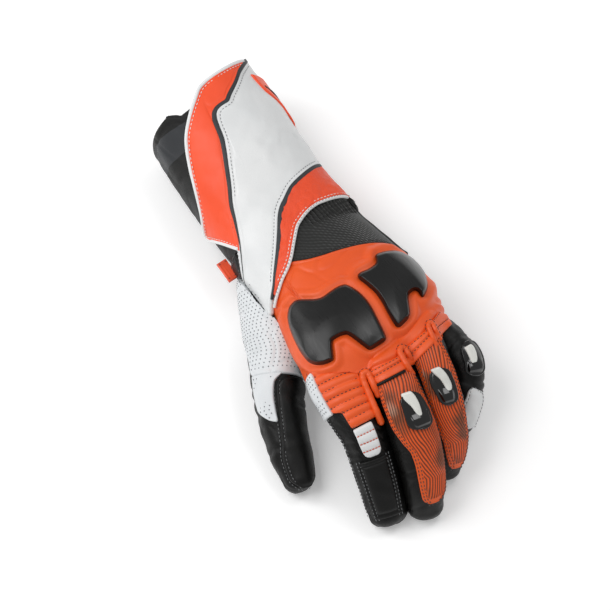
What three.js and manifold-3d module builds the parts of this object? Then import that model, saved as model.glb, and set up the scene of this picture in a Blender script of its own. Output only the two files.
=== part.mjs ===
// A left-hand long-cuff motorcycle glove, lying palm down on its fingertips, thumb and cuff.
// Millimetres, +Z up. +Y runs from the fingertips to the open cuff, +X towards the little finger.

import * as THREE from 'three';
import Module from 'manifold-3d';

const wasm = await Module();
wasm.setup();

// Driving dimensions
const WALL = 2.2; // leather with its lining
const LAP = 0.6; // between a panel and the one that lies over it
const GAP = 0.35; // between neighbouring panels
const STRIPE = 3.0; // width of a charcoal stripe
const PIPING = 1.1; // radius of the white piping
const LOOP = 1.9; // radius of the tube loops between the fingers
const RIB = 1.1; // how far a sewn rib stands up

const DEGREE = Math.PI / 180;
const LAYOUT_SHIFT = new THREE.Vector3(21.06, 14.21, 0); // puts the middle of the footprint on the origin

// The layers, as distances out of a tube's own skin.
const BASE = { low: -WALL, high: 0 };
const OVER = { low: LAP, high: LAP + WALL };
const STRAP = { low: LAP, high: 2.4 };
const WEDGE = { low: OVER.high + LAP, high: OVER.high + LAP + 0.9 };
const FACING = { low: LAP, high: 1.8 }; // thin panels sewn on a digit
const SLIDER = { low: FACING.high + LAP, high: FACING.high + LAP + 1.0 };
const CUT = { low: -4, high: 9 }; // reaches through any panel
const OVER_CUT = { low: OVER.low - 0.5, high: OVER.high + 0.4 };

// The tubes: the cuff with the hand, the thumb and the fingers, each a row of sections.
// x, y, z: middle of the section. half: half its width. rise and drop: height above and below the middle.
// crown and sole: squareness above and below, 2 is round. roll: how far the back turns to the little finger.
const SECTION_COLUMNS = ['x', 'y', 'z', 'half', 'rise', 'drop', 'crown', 'sole', 'roll'];

const HAND_ROWS = table(SECTION_COLUMNS, [
  [-0.8, 156, 37, 41.7, 38, 39, 2.2, 2.8, 0],
  [-0.8, 130, 36, 42.3, 38, 38, 2.2, 2.8, 0],
  [-1.0, 105, 35, 43.3, 38, 37, 2.2, 2.8, 0],
  [-1.8, 82, 34, 43.3, 36, 36, 2.2, 2.7, 0],
  [-2.0, 59, 34, 42.8, 32, 33, 2.2, 2.6, 0],
  [-1.0, 36, 36, 44.2, 29, 30, 2.2, 2.5, 0],
  [-0.6, 12, 38, 46.0, 30, 31, 2.2, 2.4, 2],
  [0.8, -14, 42, 49.0, 32, 31, 2.3, 2.4, 4],
  [1.8, -38, 47, 52.0, 31, 30, 2.4, 2.5, 6],
  [-1.0, -60, 50, 54.0, 30, 28, 2.5, 2.6, 8],
  [-5.8, -80, 51, 53.3, 27, 24, 2.6, 2.6, 8],
  [-10.0, -96, 51, 48.0, 20, 17, 2.6, 2.6, 8],
]);

const INDEX_ROWS = table(SECTION_COLUMNS, [
  [-37.0, -66, 58, 17.0, 14, 14, 2.4, 2.4, -6],
  [-42.0, -88, 58.5, 18.0, 14.5, 14.5, 2.4, 2.4, -6],
  [-44.8, -107, 55, 16.6, 14, 14, 2.3, 2.3, -5],
  [-46.0, -124, 48, 14.6, 13.5, 13.5, 2.3, 2.3, -4],
  [-48.0, -138, 36, 14.2, 13, 13, 2.2, 2.2, -4],
  [-50.6, -152, 23, 13.6, 12.2, 12.2, 2.2, 2.2, -4],
  [-53.2, -164, 9.4, 12.6, 11, 11, 2.2, 2.2, -4],
]);

const MIDDLE_ROWS = table(SECTION_COLUMNS, [
  [-1.0, -74, 60, 14.4, 14, 14, 2.4, 2.4, 8],
  [-9.5, -98, 62, 14.8, 14, 14, 2.4, 2.4, 8],
  [-14.2, -119, 59, 15.0, 13.6, 13.6, 2.3, 2.3, 8],
  [-17.6, -138, 50, 15.6, 13, 13, 2.3, 2.3, 8],
  [-21.4, -154, 37, 15.0, 12.6, 12.6, 2.2, 2.2, 8],
  [-25.6, -166, 23, 13.8, 12, 12, 2.2, 2.2, 8],
  [-28.6, -174, 8.8, 12.0, 11, 11, 2.2, 2.2, 8],
]);

const RING_ROWS = table(SECTION_COLUMNS, [
  [26.0, -76, 56, 13.0, 13, 13, 2.4, 2.4, 22],
  [20.0, -100, 57, 13.0, 13, 13, 2.4, 2.4, 22],
  [16.2, -120, 52, 12.8, 12.6, 12.6, 2.3, 2.3, 22],
  [11.6, -136, 43, 12.6, 12.2, 12.2, 2.3, 2.3, 22],
  [6.4, -147, 31, 12.2, 11.8, 11.8, 2.2, 2.2, 22],
  [1.4, -153, 20.5, 11.8, 11.2, 11.2, 2.2, 2.2, 22],
  [-2.4, -156, 8.0, 11.2, 10.4, 10.4, 2.2, 2.2, 22],
]);

const LITTLE_ROWS = table(SECTION_COLUMNS, [
  [36.0, -74, 43, 11.8, 12, 11.6, 2.4, 2.4, 48],
  [41.0, -95, 42.5, 12.0, 12, 11.6, 2.4, 2.4, 48],
  [42.0, -113, 38.5, 11.8, 11.8, 11.5, 2.3, 2.3, 48],
  [34.6, -126, 29.5, 11.6, 11.4, 11, 2.3, 2.3, 46],
  [28.4, -131, 19.5, 11.2, 10.8, 10.6, 2.2, 2.2, 44],
  [23.6, -133.5, 8.0, 10.6, 10.2, 10.2, 2.2, 2.2, 44],
]);

const THUMB_ROWS = table(SECTION_COLUMNS, [
  [-16.0, 26, 33, 23.0, 21, 20, 2.2, 2.2, -20],
  [-32.0, 2, 32, 23.0, 20, 20, 2.2, 2.2, -22],
  [-49.0, -25, 30, 21.0, 18, 19, 2.2, 2.2, -24],
  [-63.5, -46, 28, 18.0, 16, 17, 2.2, 2.2, -26],
  [-73.0, -62, 24, 15.6, 15, 15.5, 2.2, 2.2, -28],
  [-81.0, -81, 18.6, 14.0, 13.6, 14, 2.2, 2.2, -28],
  [-86.0, -99, 13.4, 12.4, 12, 12, 2.2, 2.2, -28],
  [-89.5, -112, 9.8, 10.4, 10, 10, 2.2, 2.2, -28],
]);

// around: facets round the tube. dome: how far the closed tip reaches.
const FINE_AROUND = 30;
const hand = { rows: HAND_ROWS, around: 28, straight: true, dome: 6 };
const index = { rows: INDEX_ROWS, around: 12, dome: 9 };
const middle = { rows: MIDDLE_ROWS, around: 12, dome: 9 };
const ring = { rows: RING_ROWS, around: 12, dome: 8 };
const little = { rows: LITTLE_ROWS, around: 12, dome: 8 };
const thumb = { rows: THUMB_ROWS, around: 14, dome: 9 };
const digits = { thumb, index, middle, ring, little };

// Seams on the cuff and hand: the angle round the tube at each y. 0 is the top, plus is the little finger's side.
const SEAM_COLUMNS = ['y', 'angle'];

// The seam along the white centre panel's thumb side, from the peak of the cuff to the wrist.
const THUMB_SEAM = table(SEAM_COLUMNS, [
  [154, 76], [138, 37], [129, 21], [123, 9], [120, -2], [115, -7], [102, -9], [93, -14],
  [80, -21], [65, -30], [50, -41], [35, -54], [24, -68], [13, -88], [0, -100],
]);

// The seam along the centre panel's other side, from the side of the cuff to the thumb.
const OUTER_SEAM = table(SEAM_COLUMNS, [
  [70, 108], [64, 77], [59, 47], [55, 28], [51, 13], [45, 2], [39, -6], [27, -17], [15, -29], [4, -42],
  [-6, -56], [-16, -80],
]);

// The free edge of the thumb-side flap, from the rim to its side corner and on to the wrist.
const FLAP_TOP = table(SEAM_COLUMNS, [
  [151, 56], [145.5, 14], [143.5, -2], [137.5, -10], [131.5, -19.5], [120.5, -35.5], [113.5, -42.5], [100.5, -52],
  [88, -60], [77, -70], [71.5, -80], [68, -98],
]);
const FLAP_BOTTOM = table(SEAM_COLUMNS, [[64.5, -98], [59, -92], [49.5, -76], [41.5, -66], [36, -60]]);

// The piped edge of the orange patch, from the wrist's top to the side of the hand.
const PIPED_EDGE = table(SEAM_COLUMNS, [
  [31, 68], [31, 11], [27, 2], [23, -2], [14, -12], [4, -24], [-1, -32], [-6, -44], [-10, -53], [-16, -70], [-22, -88],
]);

const ACROSS_COLUMNS = ['angle', 'y'];

// Where the wrist ribbing ends on the back of the hand.
const RIBBING_END = table(ACROSS_COLUMNS, [
  [-43, 12], [-42, 6], [-28, 2], [-12, -5], [6, -10], [26, -14], [42, -17], [66, -27], [100, -36],
]);

// The cuff's rim, longest at the peak.
const RIM = table(ACROSS_COLUMNS, [
  [-20, 143], [0, 144], [14, 146], [50, 151], [70, 153], [90, 150], [108, 146],
]);

// Panels on the digits: the angles of their edges at each place, counted in section rows from the root.
const EDGE_COLUMNS = ['place', 'left', 'right'];

const INDEX_RIBBED = table(EDGE_COLUMNS, [
  [0.6, -42, 74], [1.9, -42, 66], [2.05, -22, 62], [2.6, -22, 56],
]);
const INDEX_PATCH = table(EDGE_COLUMNS, [[2.64, -22, 22], [3.1, -22, 23], [3.4, -18, 23], [3.58, -10, 16]]);
const INDEX_WEB = table(EDGE_COLUMNS, [[0.6, -112, -44], [1.4, -108, -44], [1.95, -98, -44]]);
const INDEX_TIP = table(EDGE_COLUMNS, [[3.7, -52, 46], [4.6, -50, 46], [5.9, -46, 44]]);
const MIDDLE_TOP = table(EDGE_COLUMNS, [
  [0.8, -56, 30], [1.55, -58, 50], [2.06, -64, 62], [2.6, -62, 70], [3.2, -44, 74], [3.6, -28, 76], [4.5, -22, 74],
  [5.1, -20, 60], [5.4, -10, 30],
]);
const RING_TOP = table(EDGE_COLUMNS, [
  [0.8, -70, 8], [1.4, -80, 26], [1.9, -80, 30], [2.7, -76, 32], [3.4, -58, 40], [4.0, -37, 54], [4.7, -14, 64],
  [5.3, 2, 52],
]);
const THUMB_TOP = table(EDGE_COLUMNS, [
  [3.3, 40, 96], [3.5, 22, 112], [4.6, 18, 116], [5.4, 8, 112], [6.0, -4, 108], [6.9, -10, 100],
]);
const GUSSET_UPPER = table(EDGE_COLUMNS, [[0.7, -116, 84], [2.0, -104, 100], [2.45, -70, 112], [3.24, -36, 118]]);
const GUSSET_LOWER = table(EDGE_COLUMNS, [[3.2, -36, 36], [3.5, -36, 18], [4.3, -32, 14], [4.62, -10, 14], [4.76, 6, 14]]);
const LITTLE_PATCH = table(EDGE_COLUMNS, [[2.75, -36, -6], [3.0, -40, 20], [3.7, -38, 46], [4.6, 0, 52]]);

// Sliders: hard cups on the finger joints, each with a window for its pale insert.
const SLIDER_CROWN = 2.2; // height over the rim
const MIDDLE_SLIDER = table(EDGE_COLUMNS, [
  [1.98, -6, 20], [2.12, -15, 29], [2.42, -17, 36], [2.72, -18, 39], [2.92, -13, 37], [3.06, 0, 28],
]);
const MIDDLE_INSERT = table(EDGE_COLUMNS, [[2.06, -5, 12], [2.2, -7, 14], [2.5, -2, 20], [2.62, 6, 18]]);
const RING_SLIDER = table(EDGE_COLUMNS, [
  [1.62, -36, -8], [1.76, -48, 3], [1.97, -52, 7], [2.4, -44, 10], [2.67, -36, 8], [2.79, -24, -6],
]);
const RING_INSERT = table(EDGE_COLUMNS, [[1.7, -32, -10], [1.85, -36, -8], [2.1, -30, -5], [2.2, -24, -8]]);
const LITTLE_SLIDER = table(EDGE_COLUMNS, [
  [1.42, -42, 0], [1.56, -56, 10], [1.9, -62, 14], [2.26, -58, 12], [2.42, -44, 4],
]);
const LITTLE_INSERT = table(EDGE_COLUMNS, [[1.58, -38, -4], [1.7, -44, 0], [2.1, -46, 2], [2.24, -38, -4]]);

// The drawing plane faces the back of the hand: it is turned and tilted so that the arm rises to its upper left.
const DRAWING_TURN = -33 * DEGREE;
const DRAWING_TILT = 63 * DEGREE;
const PLANE_COLUMNS = ['right', 'up'];

const INDEX_GUARD = table(PLANE_COLUMNS, [
  [-20, -7.5], [-16, -3.4], [-12, -2.8], [-2.7, -2.8], [2, -1.5], [7.3, 2.5], [12.6, 5.9], [17, 7.2], [20.6, 5.9],
  [26, 2.5], [31.3, -2.8], [35.3, -8.8], [39.3, -16.8], [42.6, -23.5], [44.6, -28.6], [43.6, -30.6], [35.3, -36.1],
  [33, -36.8], [29.9, -34.8], [20.6, -27.5], [17.6, -26.1], [13.9, -27.5], [9.3, -30.1], [8.4, -32.6], [9.3, -40.1],
  [9.4, -43.6], [3.9, -46.1], [-2.1, -46.8], [-7.4, -44.8], [-12.7, -38.1], [-16.7, -30.1], [-20.1, -21.5],
  [-21.4, -14.1],
]);
const RING_GUARD = table(PLANE_COLUMNS, [
  [37, 27], [43.3, 29.2], [50.6, 29.9], [56, 28.5], [61.9, 25.2], [67.3, 19.9], [71.3, 13.9], [72.6, 7.9], [71.9, 3.2],
  [69.3, -2.1], [67.6, -1.5], [65.3, 2.3], [63, 2.8], [60.2, 0.8], [59.2, -2.4], [60.6, -12.1], [59, -16.4],
  [53.9, -21.5], [51.6, -21.9], [49.9, -20.1], [45.9, -13.5], [41.9, -5.5], [37.3, 1.2], [31.3, 6.5], [26, 10.5],
  [25.3, 13.2], [27.3, 15.2], [32.6, 17.2], [37.3, 20.5], [37.9, 22.5],
]);
const GUARD_HEIGHT = 4.6; // over the leather

// Tube loops between the fingers, as points on the skin: the tube, the place (y on the hand) and the angle.
const LOOP_COLUMNS = ['tube', 'place', 'angle'];
const LOOPS = {
  loop_index_middle: {
    under: { index: FACING.high + RIB, middle: FACING.high }, // heights of what the loop lies on
    path: table(LOOP_COLUMNS, [
      ['index', 2.5, 48], ['index', 2.0, 50], ['index', 1.5, 50], ['index', 1.2, 46], ['index', 1.06, 40],
    ]),
  },
  loop_middle_ring: {
    under: { middle: 0.6 },
    path: table(LOOP_COLUMNS, [
      ['middle', 1.4, 54], ['middle', 1.1, 53], ['middle', 0.9, 53],
    ]),
  },
  loop_ring_little: {
    under: { ring: -0.4, little: 0 },
    path: table(LOOP_COLUMNS, [
      ['ring', 1.3, 34], ['ring', 1.05, 33], ['ring', 0.85, 38], ['ring', 0.7, 50],
    ]),
  },
};

// The orange wedge at the cuff's rim.
const WEDGE_TOP = table(ACROSS_COLUMNS, [[50, 137.5], [76, 136], [84, 128]]);
const WEDGE_BOTTOM = table(ACROSS_COLUMNS, [
  [50, 133], [51.5, 126], [55, 121], [60, 117.5], [67, 114], [72, 105], [84, 99],
]);

const CUFF_HEM = 141; // y of the lower cuff's rim
// The lower cuff's rim where it goes on under the flap, and the y where that part ends.
const HEM_UNDER_FLAP = table(ACROSS_COLUMNS, [
  [316, 141], [320, 137.5], [326, 132], [330, 129.8], [338, 133], [346, 133],
]);
const UNDER_FLAP_END = 60;
const WRIST_SEAM = 34; // y where the lower cuff meets the palm
const RIBBING_TOP = 39; // y where the ribbing starts, under the orange patch
const PATCH_END = 31; // y of the orange patch's lower edge
const FINGER_SEAM = -95; // y where the hand's panels end between the fingers
const SIDE_SEAM = 100; // angle of the seams between back and palm
const OVER_EDGE = 108; // angle where the centre panel ends over the lower cuff
const HIDDEN_EDGE = 88; // angle where the lower cuff ends under the centre panel
const UNDER_FLAP = -42; // angle where the lower cuff ends under the flap
const STRIP_EDGE = 72; // angle between the ribbing and the strip beside it
const WHOLE_TURN = 360;

const LOOKS = {
  orange: [0xf0663a, 0.5],
  textured: [0xd2501a, 0.7],
  white: [0xe3e4e4, 0.45],
  perforated: [0xd3d6d8, 0.55],
  charcoal: [0x2f3336, 0.6],
  leather: [0x1e1e1d, 0.4],
  knit: [0x2a2b29, 0.9],
  gloss: [0x232323, 0.15],
  insert: [0xdadad5, 0.3],
};

function table(columns, lines) {
  return lines.map((line) => Object.fromEntries(columns.map((name, i) => [name, line[i]])));
}

function smooth(a, b, c, d, t) {
  const slopeB = (c - a) / 2;
  const slopeC = (d - b) / 2;
  return (2 * t ** 3 - 3 * t ** 2 + 1) * b + (t ** 3 - 2 * t ** 2 + t) * slopeB
    + (3 * t ** 2 - 2 * t ** 3) * c + (t ** 3 - t ** 2) * slopeC;
}

// A row between two rows of a table: each column follows a smooth curve through its values.
function rowAt(rows, place) {
  const last = rows.length - 1;
  const i = Math.min(Math.max(Math.floor(place), 0), last - 1);
  const [a, b, c, d] = [i - 1, i, i + 1, i + 2].map((k) => rows[Math.min(Math.max(k, 0), last)]);
  return Object.fromEntries(Object.keys(b).map((name) => [name, smooth(a[name], b[name], c[name], d[name], place - i)]));
}

// The value of one column where another has a given value, straight between rows and constant past the ends.
function lookUp(rows, from, value, to) {
  const rising = rows[rows.length - 1][from] > rows[0][from];
  const sorted = rising ? rows : [...rows].reverse();
  if (value <= sorted[0][from]) return sorted[0][to];
  for (let i = 1; i < sorted.length; i++) {
    const [a, b] = [sorted[i - 1], sorted[i]];
    if (value <= b[from]) return a[to] + ((value - a[from]) / (b[from] - a[from])) * (b[to] - a[to]);
  }
  return sorted[sorted.length - 1][to];
}

// The directions of a section: along the tube to its tip, out of its back, and across to the little finger.
function frameAt(tube, place) {
  const row = rowAt(tube.rows, place);
  const along = new THREE.Vector3(0, -1, 0);
  if (!tube.straight) {
    const near = rowAt(tube.rows, Math.max(place - 0.05, 0));
    const far = rowAt(tube.rows, Math.min(place + 0.05, tube.rows.length - 1));
    along.set(far.x - near.x, far.y - near.y, far.z - near.z).normalize();
  }
  const back = new THREE.Vector3(0, 0, 1).addScaledVector(along, -along.z).normalize();
  const across = new THREE.Vector3().crossVectors(back, along);
  const turn = row.roll * DEGREE;
  return {
    row,
    middle: new THREE.Vector3(row.x, row.y, row.z),
    along,
    back: back.clone().multiplyScalar(Math.cos(turn)).addScaledVector(across, Math.sin(turn)),
    across: across.clone().multiplyScalar(Math.cos(turn)).addScaledVector(back, -Math.sin(turn)),
  };
}

// A point at a distance out of the tube's skin. Leather that meets the table lies flat on it.
function skinPoint(frame, angle, grow, shrink = 1, shift = 0) {
  const { row } = frame;
  const s = Math.sin(angle * DEGREE);
  const c = Math.cos(angle * DEGREE);
  const power = 2 / (c >= 0 ? row.crown : row.sole);
  const wide = Math.sign(s) * Math.abs(s) ** power * (row.half + grow) * shrink;
  const high = Math.sign(c) * Math.abs(c) ** power * ((c >= 0 ? row.rise : row.drop) + grow) * shrink;
  const point = frame.middle.clone().addScaledVector(frame.across, wide).addScaledVector(frame.back, high);
  point.addScaledVector(frame.along, shift);
  point.z = Math.max(point.z, -grow);
  return point;
}

// The whole closed tube. past: how far it reaches beyond its first row. fine: more facets, for a close cut.
function tubeSolid(tube, grow, { past = 0, fine = false } = {}) {
  const last = tube.rows.length - 1;
  const around = fine ? FINE_AROUND : tube.around;
  const steps = fine ? 2 : 1;
  const rings = [];
  const addRing = (frame, shrink, shift) => {
    const turns = Array.from({ length: around }, (_, k) => (WHOLE_TURN * k) / around);
    rings.push(turns.map((angle) => skinPoint(frame, angle, grow, shrink, shift)));
  };
  if (past) addRing(frameAt(tube, 0), 1, -past);
  for (let i = 0; i <= last * steps; i++) addRing(frameAt(tube, i / steps), 1, 0);
  for (const lean of [35, 65, 85]) {
    addRing(frameAt(tube, last), Math.cos(lean * DEGREE), (tube.dome + grow) * Math.sin(lean * DEGREE));
  }
  return solidOfRings(rings);
}

// A closed solid through rings of as many points each, with a fan over each end.
function solidOfRings(rings) {
  const count = rings[0].length;
  const triangles = [];
  for (let r = 0; r + 1 < rings.length; r++) {
    for (let k = 0; k < count; k++) {
      const a = r * count + k;
      const b = r * count + ((k + 1) % count);
      triangles.push(a, a + count, b, b, a + count, b + count);
    }
  }
  const lastRing = (rings.length - 1) * count;
  for (let k = 1; k + 1 < count; k++) {
    triangles.push(0, k, k + 1, lastRing, lastRing + k + 1, lastRing + k);
  }
  return solidOfMesh(rings.flat(), triangles);
}

function solidOfMesh(points, triangles) {
  const make = (triVerts) => new wasm.Manifold(new wasm.Mesh({
    numProp: 3,
    vertProperties: new Float32Array(points.flatMap((p) => [p.x, p.y, p.z])),
    triVerts: new Uint32Array(triVerts),
  }));
  const made = make(triangles);
  if (made.volume() > 0) return made;
  const turned = [];
  for (let i = 0; i < triangles.length; i += 3) turned.push(triangles[i], triangles[i + 2], triangles[i + 1]);
  return make(turned);
}

// A closed slab between an inner and an outer grid of points. side is 0 inside and 1 outside.
function slab(across, along, pointAt) {
  const points = [];
  const triangles = [];
  const at = (i, j, side) => (i * (along + 1) + j) * 2 + side;
  for (let i = 0; i <= across; i++) {
    for (let j = 0; j <= along; j++) {
      points.push(pointAt(i / across, j / along, 0), pointAt(i / across, j / along, 1));
    }
  }
  const quad = (a, b, c, d) => triangles.push(a, b, c, a, c, d);
  for (let i = 0; i < across; i++) {
    for (let j = 0; j < along; j++) {
      quad(at(i, j, 1), at(i + 1, j, 1), at(i + 1, j + 1, 1), at(i, j + 1, 1));
      quad(at(i, j, 0), at(i, j + 1, 0), at(i + 1, j + 1, 0), at(i + 1, j, 0));
    }
    quad(at(i, 0, 0), at(i + 1, 0, 0), at(i + 1, 0, 1), at(i, 0, 1));
    quad(at(i + 1, along, 0), at(i, along, 0), at(i, along, 1), at(i + 1, along, 1));
  }
  for (let j = 0; j < along; j++) {
    quad(at(0, j + 1, 0), at(0, j, 0), at(0, j, 1), at(0, j + 1, 1));
    quad(at(across, j, 0), at(across, j + 1, 0), at(across, j + 1, 1), at(across, j, 1));
  }
  return solidOfMesh(points, triangles);
}

// The place of a y among the hand's rows, read from a fine list.
const HAND_STEPS = 600;
const handYs = Array.from({ length: HAND_STEPS + 1 }, (_, i) => ({
  place: (i / HAND_STEPS) * (HAND_ROWS.length - 1),
  y: rowAt(HAND_ROWS, (i / HAND_STEPS) * (HAND_ROWS.length - 1)).y,
})).reverse();

function placeAtY(y) {
  let [low, high] = [0, HAND_STEPS];
  while (high - low > 1) {
    const mid = (low + high) >> 1;
    if (handYs[mid].y > y) high = mid;
    else low = mid;
  }
  const [a, b] = [handYs[low], handYs[high]];
  const share = Math.min(Math.max((y - a.y) / (b.y - a.y), 0), 1);
  return a.place + share * (b.place - a.place);
}

// The angles at which a panel is built: the corners of its seams, and more between them.
const WIDEST_STEP = 12;
const CLOSEST_STEP = 1.5;
function stations(from, to, tables = []) {
  const corners = tables.flatMap((rows) => rows.map((row) => row.angle)).filter((angle) => angle > from && angle < to);
  const sorted = [from, ...corners.sort((a, b) => a - b), to];
  const spread = sorted.filter((angle, i) => i === 0 || i === sorted.length - 1
    || (angle - sorted[i - 1] > CLOSEST_STEP && to - angle > CLOSEST_STEP));
  const made = [from];
  for (const angle of spread.slice(1)) {
    const last = made[made.length - 1];
    const parts = Math.ceil((angle - last) / WIDEST_STEP);
    for (let k = 1; k <= parts; k++) made.push(last + ((angle - last) * k) / parts);
  }
  return made;
}

// A panel of the cuff or hand at a list of angles, between a top and a bottom y at each of them.
function handPanel({ angles, top, bottom, along, layer, relief = () => 0 }) {
  const last = angles.length - 1;
  return slab(last, along, (u, v, side) => {
    const angle = angles[Math.round(u * last)];
    const y = top(angle) + v * (bottom(angle) - top(angle));
    const grow = side ? layer.high + relief(u, v) : layer.low;
    return skinPoint(frameAt(hand, placeAtY(y)), angle, grow);
  });
}

// A path of y and angle with more points between its corners.
function finePath(path) {
  const fine = [path[0]];
  for (let i = 1; i < path.length; i++) {
    const [a, b] = [path[i - 1], path[i]];
    const parts = Math.ceil(Math.max(Math.abs(b.angle - a.angle) / WIDEST_STEP, Math.abs(b.y - a.y) / 14));
    for (let k = 1; k <= parts; k++) {
      fine.push({ y: a.y + ((b.y - a.y) * k) / parts, angle: a.angle + ((b.angle - a.angle) * k) / parts });
    }
  }
  return fine;
}

// A point on the hand's skin beside a path. A positive distance lies towards the little finger on a path that
// runs to the fingertips. ahead: how far past the point along the path.
function pointBeside(path, i, distance, grow, ahead = 0) {
  const [before, after] = [path[Math.max(i - 1, 0)], path[Math.min(i + 1, path.length - 1)]];
  const mmPerDegree = DEGREE * rowAt(HAND_ROWS, placeAtY(path[i].y)).half;
  const run = new THREE.Vector2((after.angle - before.angle) * mmPerDegree, after.y - before.y).normalize();
  const angle = path[i].angle + (-run.y * distance + run.x * ahead) / mmPerDegree;
  const y = path[i].y + run.x * distance + run.y * ahead;
  return skinPoint(frameAt(hand, placeAtY(y)), angle, grow);
}

// A ribbon on the hand's skin along a path, between two distances beside it.
function ribbon(path, from, to, layer, spare = 0) {
  const fine = finePath(path);
  const last = fine.length - 1;
  return slab(1, last, (u, v, side) => {
    const i = Math.round(v * last);
    const ahead = i === 0 ? -spare : i === last ? spare : 0;
    return pointBeside(fine, i, u === 0 ? from - spare : to + spare, side ? layer.high : layer.low, ahead);
  });
}

// A panel of a digit, between the rows of its edge table.
function digitPanel({ tube, edges, across, along, layer, relief = () => 0 }) {
  const [from, to] = [edges[0].place, edges[edges.length - 1].place];
  return slab(across, along, (u, v, side) => {
    const place = from + v * (to - from);
    const left = lookUp(edges, 'place', place, 'left');
    const angle = left + u * (lookUp(edges, 'place', place, 'right') - left);
    return skinPoint(frameAt(tube, place), angle, side ? layer.high + relief(u, v) : layer.low);
  });
}

const always = (value) => () => value;
const across = (rows, lift = 0) => (angle) => lookUp(rows, 'angle', angle, 'y') + lift;

// A round cord along points, with six sides.
function cordSolid(points, radius, steps) {
  const path = new THREE.CatmullRomCurve3(points);
  const frames = path.computeFrenetFrames(steps, false);
  const rings = [];
  for (let i = 0; i <= steps; i++) {
    const middlePoint = path.getPointAt(i / steps);
    rings.push([0, 60, 120, 180, 240, 300].map((angle) => middlePoint.clone()
      .addScaledVector(frames.normals[i], radius * Math.cos(angle * DEGREE))
      .addScaledVector(frames.binormals[i], radius * Math.sin(angle * DEGREE))));
  }
  return solidOfRings(rings);
}

function boxSolid([x0, y0, z0], [x1, y1, z1]) {
  const ringAt = (z) => [[x0, y0], [x1, y0], [x1, y1], [x0, y1]].map(([x, y]) => new THREE.Vector3(x, y, z));
  return solidOfRings([ringAt(z0), ringAt(z1)]);
}

// A column of space through an outline on the drawing plane, above the middle of the hand.
function column(outline) {
  const right = new THREE.Vector3(Math.cos(DRAWING_TURN), Math.sin(DRAWING_TURN), 0);
  const back = new THREE.Vector3(Math.sin(DRAWING_TURN) * Math.cos(DRAWING_TILT),
    -Math.cos(DRAWING_TURN) * Math.cos(DRAWING_TILT), Math.sin(DRAWING_TILT));
  const up = new THREE.Vector3().crossVectors(back, right);
  const corners = outline.map((corner) => new THREE.Vector2(corner.right, corner.up));
  if (THREE.ShapeUtils.isClockWise(corners)) corners.reverse();
  const faces = THREE.ShapeUtils.triangulateShape(corners, []);
  const count = corners.length;
  const [near, far] = [46, 140]; // distances of the column's ends along the plane's normal
  const points = [near, far].flatMap((depth) => corners.map((corner) => new THREE.Vector3()
    .addScaledVector(right, corner.x).addScaledVector(up, corner.y).addScaledVector(back, depth)));
  const triangles = faces.flatMap(([a, b, c]) => [a, c, b, a + count, b + count, c + count]);
  for (let i = 0; i < count; i++) {
    const next = (i + 1) % count;
    triangles.push(i, next, next + count, i, next + count, i + count);
  }
  return solidOfMesh(points, triangles);
}

const glove = new THREE.Group();
glove.position.copy(LAYOUT_SHIFT);

function place(name, solid, look) {
  const { vertProperties, triVerts } = solid.getMesh();
  const geometry = new THREE.BufferGeometry();
  geometry.setAttribute('position', new THREE.BufferAttribute(new Float32Array(vertProperties), 3));
  geometry.setIndex(new THREE.BufferAttribute(new Uint32Array(triVerts), 1));
  geometry.computeVertexNormals();
  const [color, roughness] = LOOKS[look];
  const mesh = new THREE.Mesh(geometry, new THREE.MeshStandardMaterial({ color, roughness, metalness: 0 }));
  mesh.name = name;
  glove.add(mesh);
}

// Solids that others are cut by.
const handOutside = tubeSolid(hand, LAP, { fine: true });
const thumbOutside = tubeSolid(thumb, FACING.high + LAP + 0.3, { fine: true });
const grown = (grow) => Object.fromEntries(
  Object.entries(digits).map(([name, tube]) => [name, tubeSolid(tube, grow, { fine: true })]),
);
const outsides = grown(LAP);
const raisedOutsides = grown(FACING.high + LAP);
const without = (solid, cuts) => cuts.reduce((rest, cut) => rest.subtract(cut), solid);
const spaces = Object.fromEntries(Object.entries(digits).map(([name, tube]) => [name, tubeSolid(tube, LAP + 0.2)]));
const digitSpaces = Object.values(spaces);
const joined = (solids) => solids.reduce((all, solid) => all.add(solid));

// A cord sewn on the skin of the cuff beside a path.
function cordOnCuff(path, distance, radius) {
  const fine = finePath(path);
  return cordSolid(fine.map((_, i) => pointBeside(fine, i, distance, LAP + PIPING)), radius, fine.length * 2);
}

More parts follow.
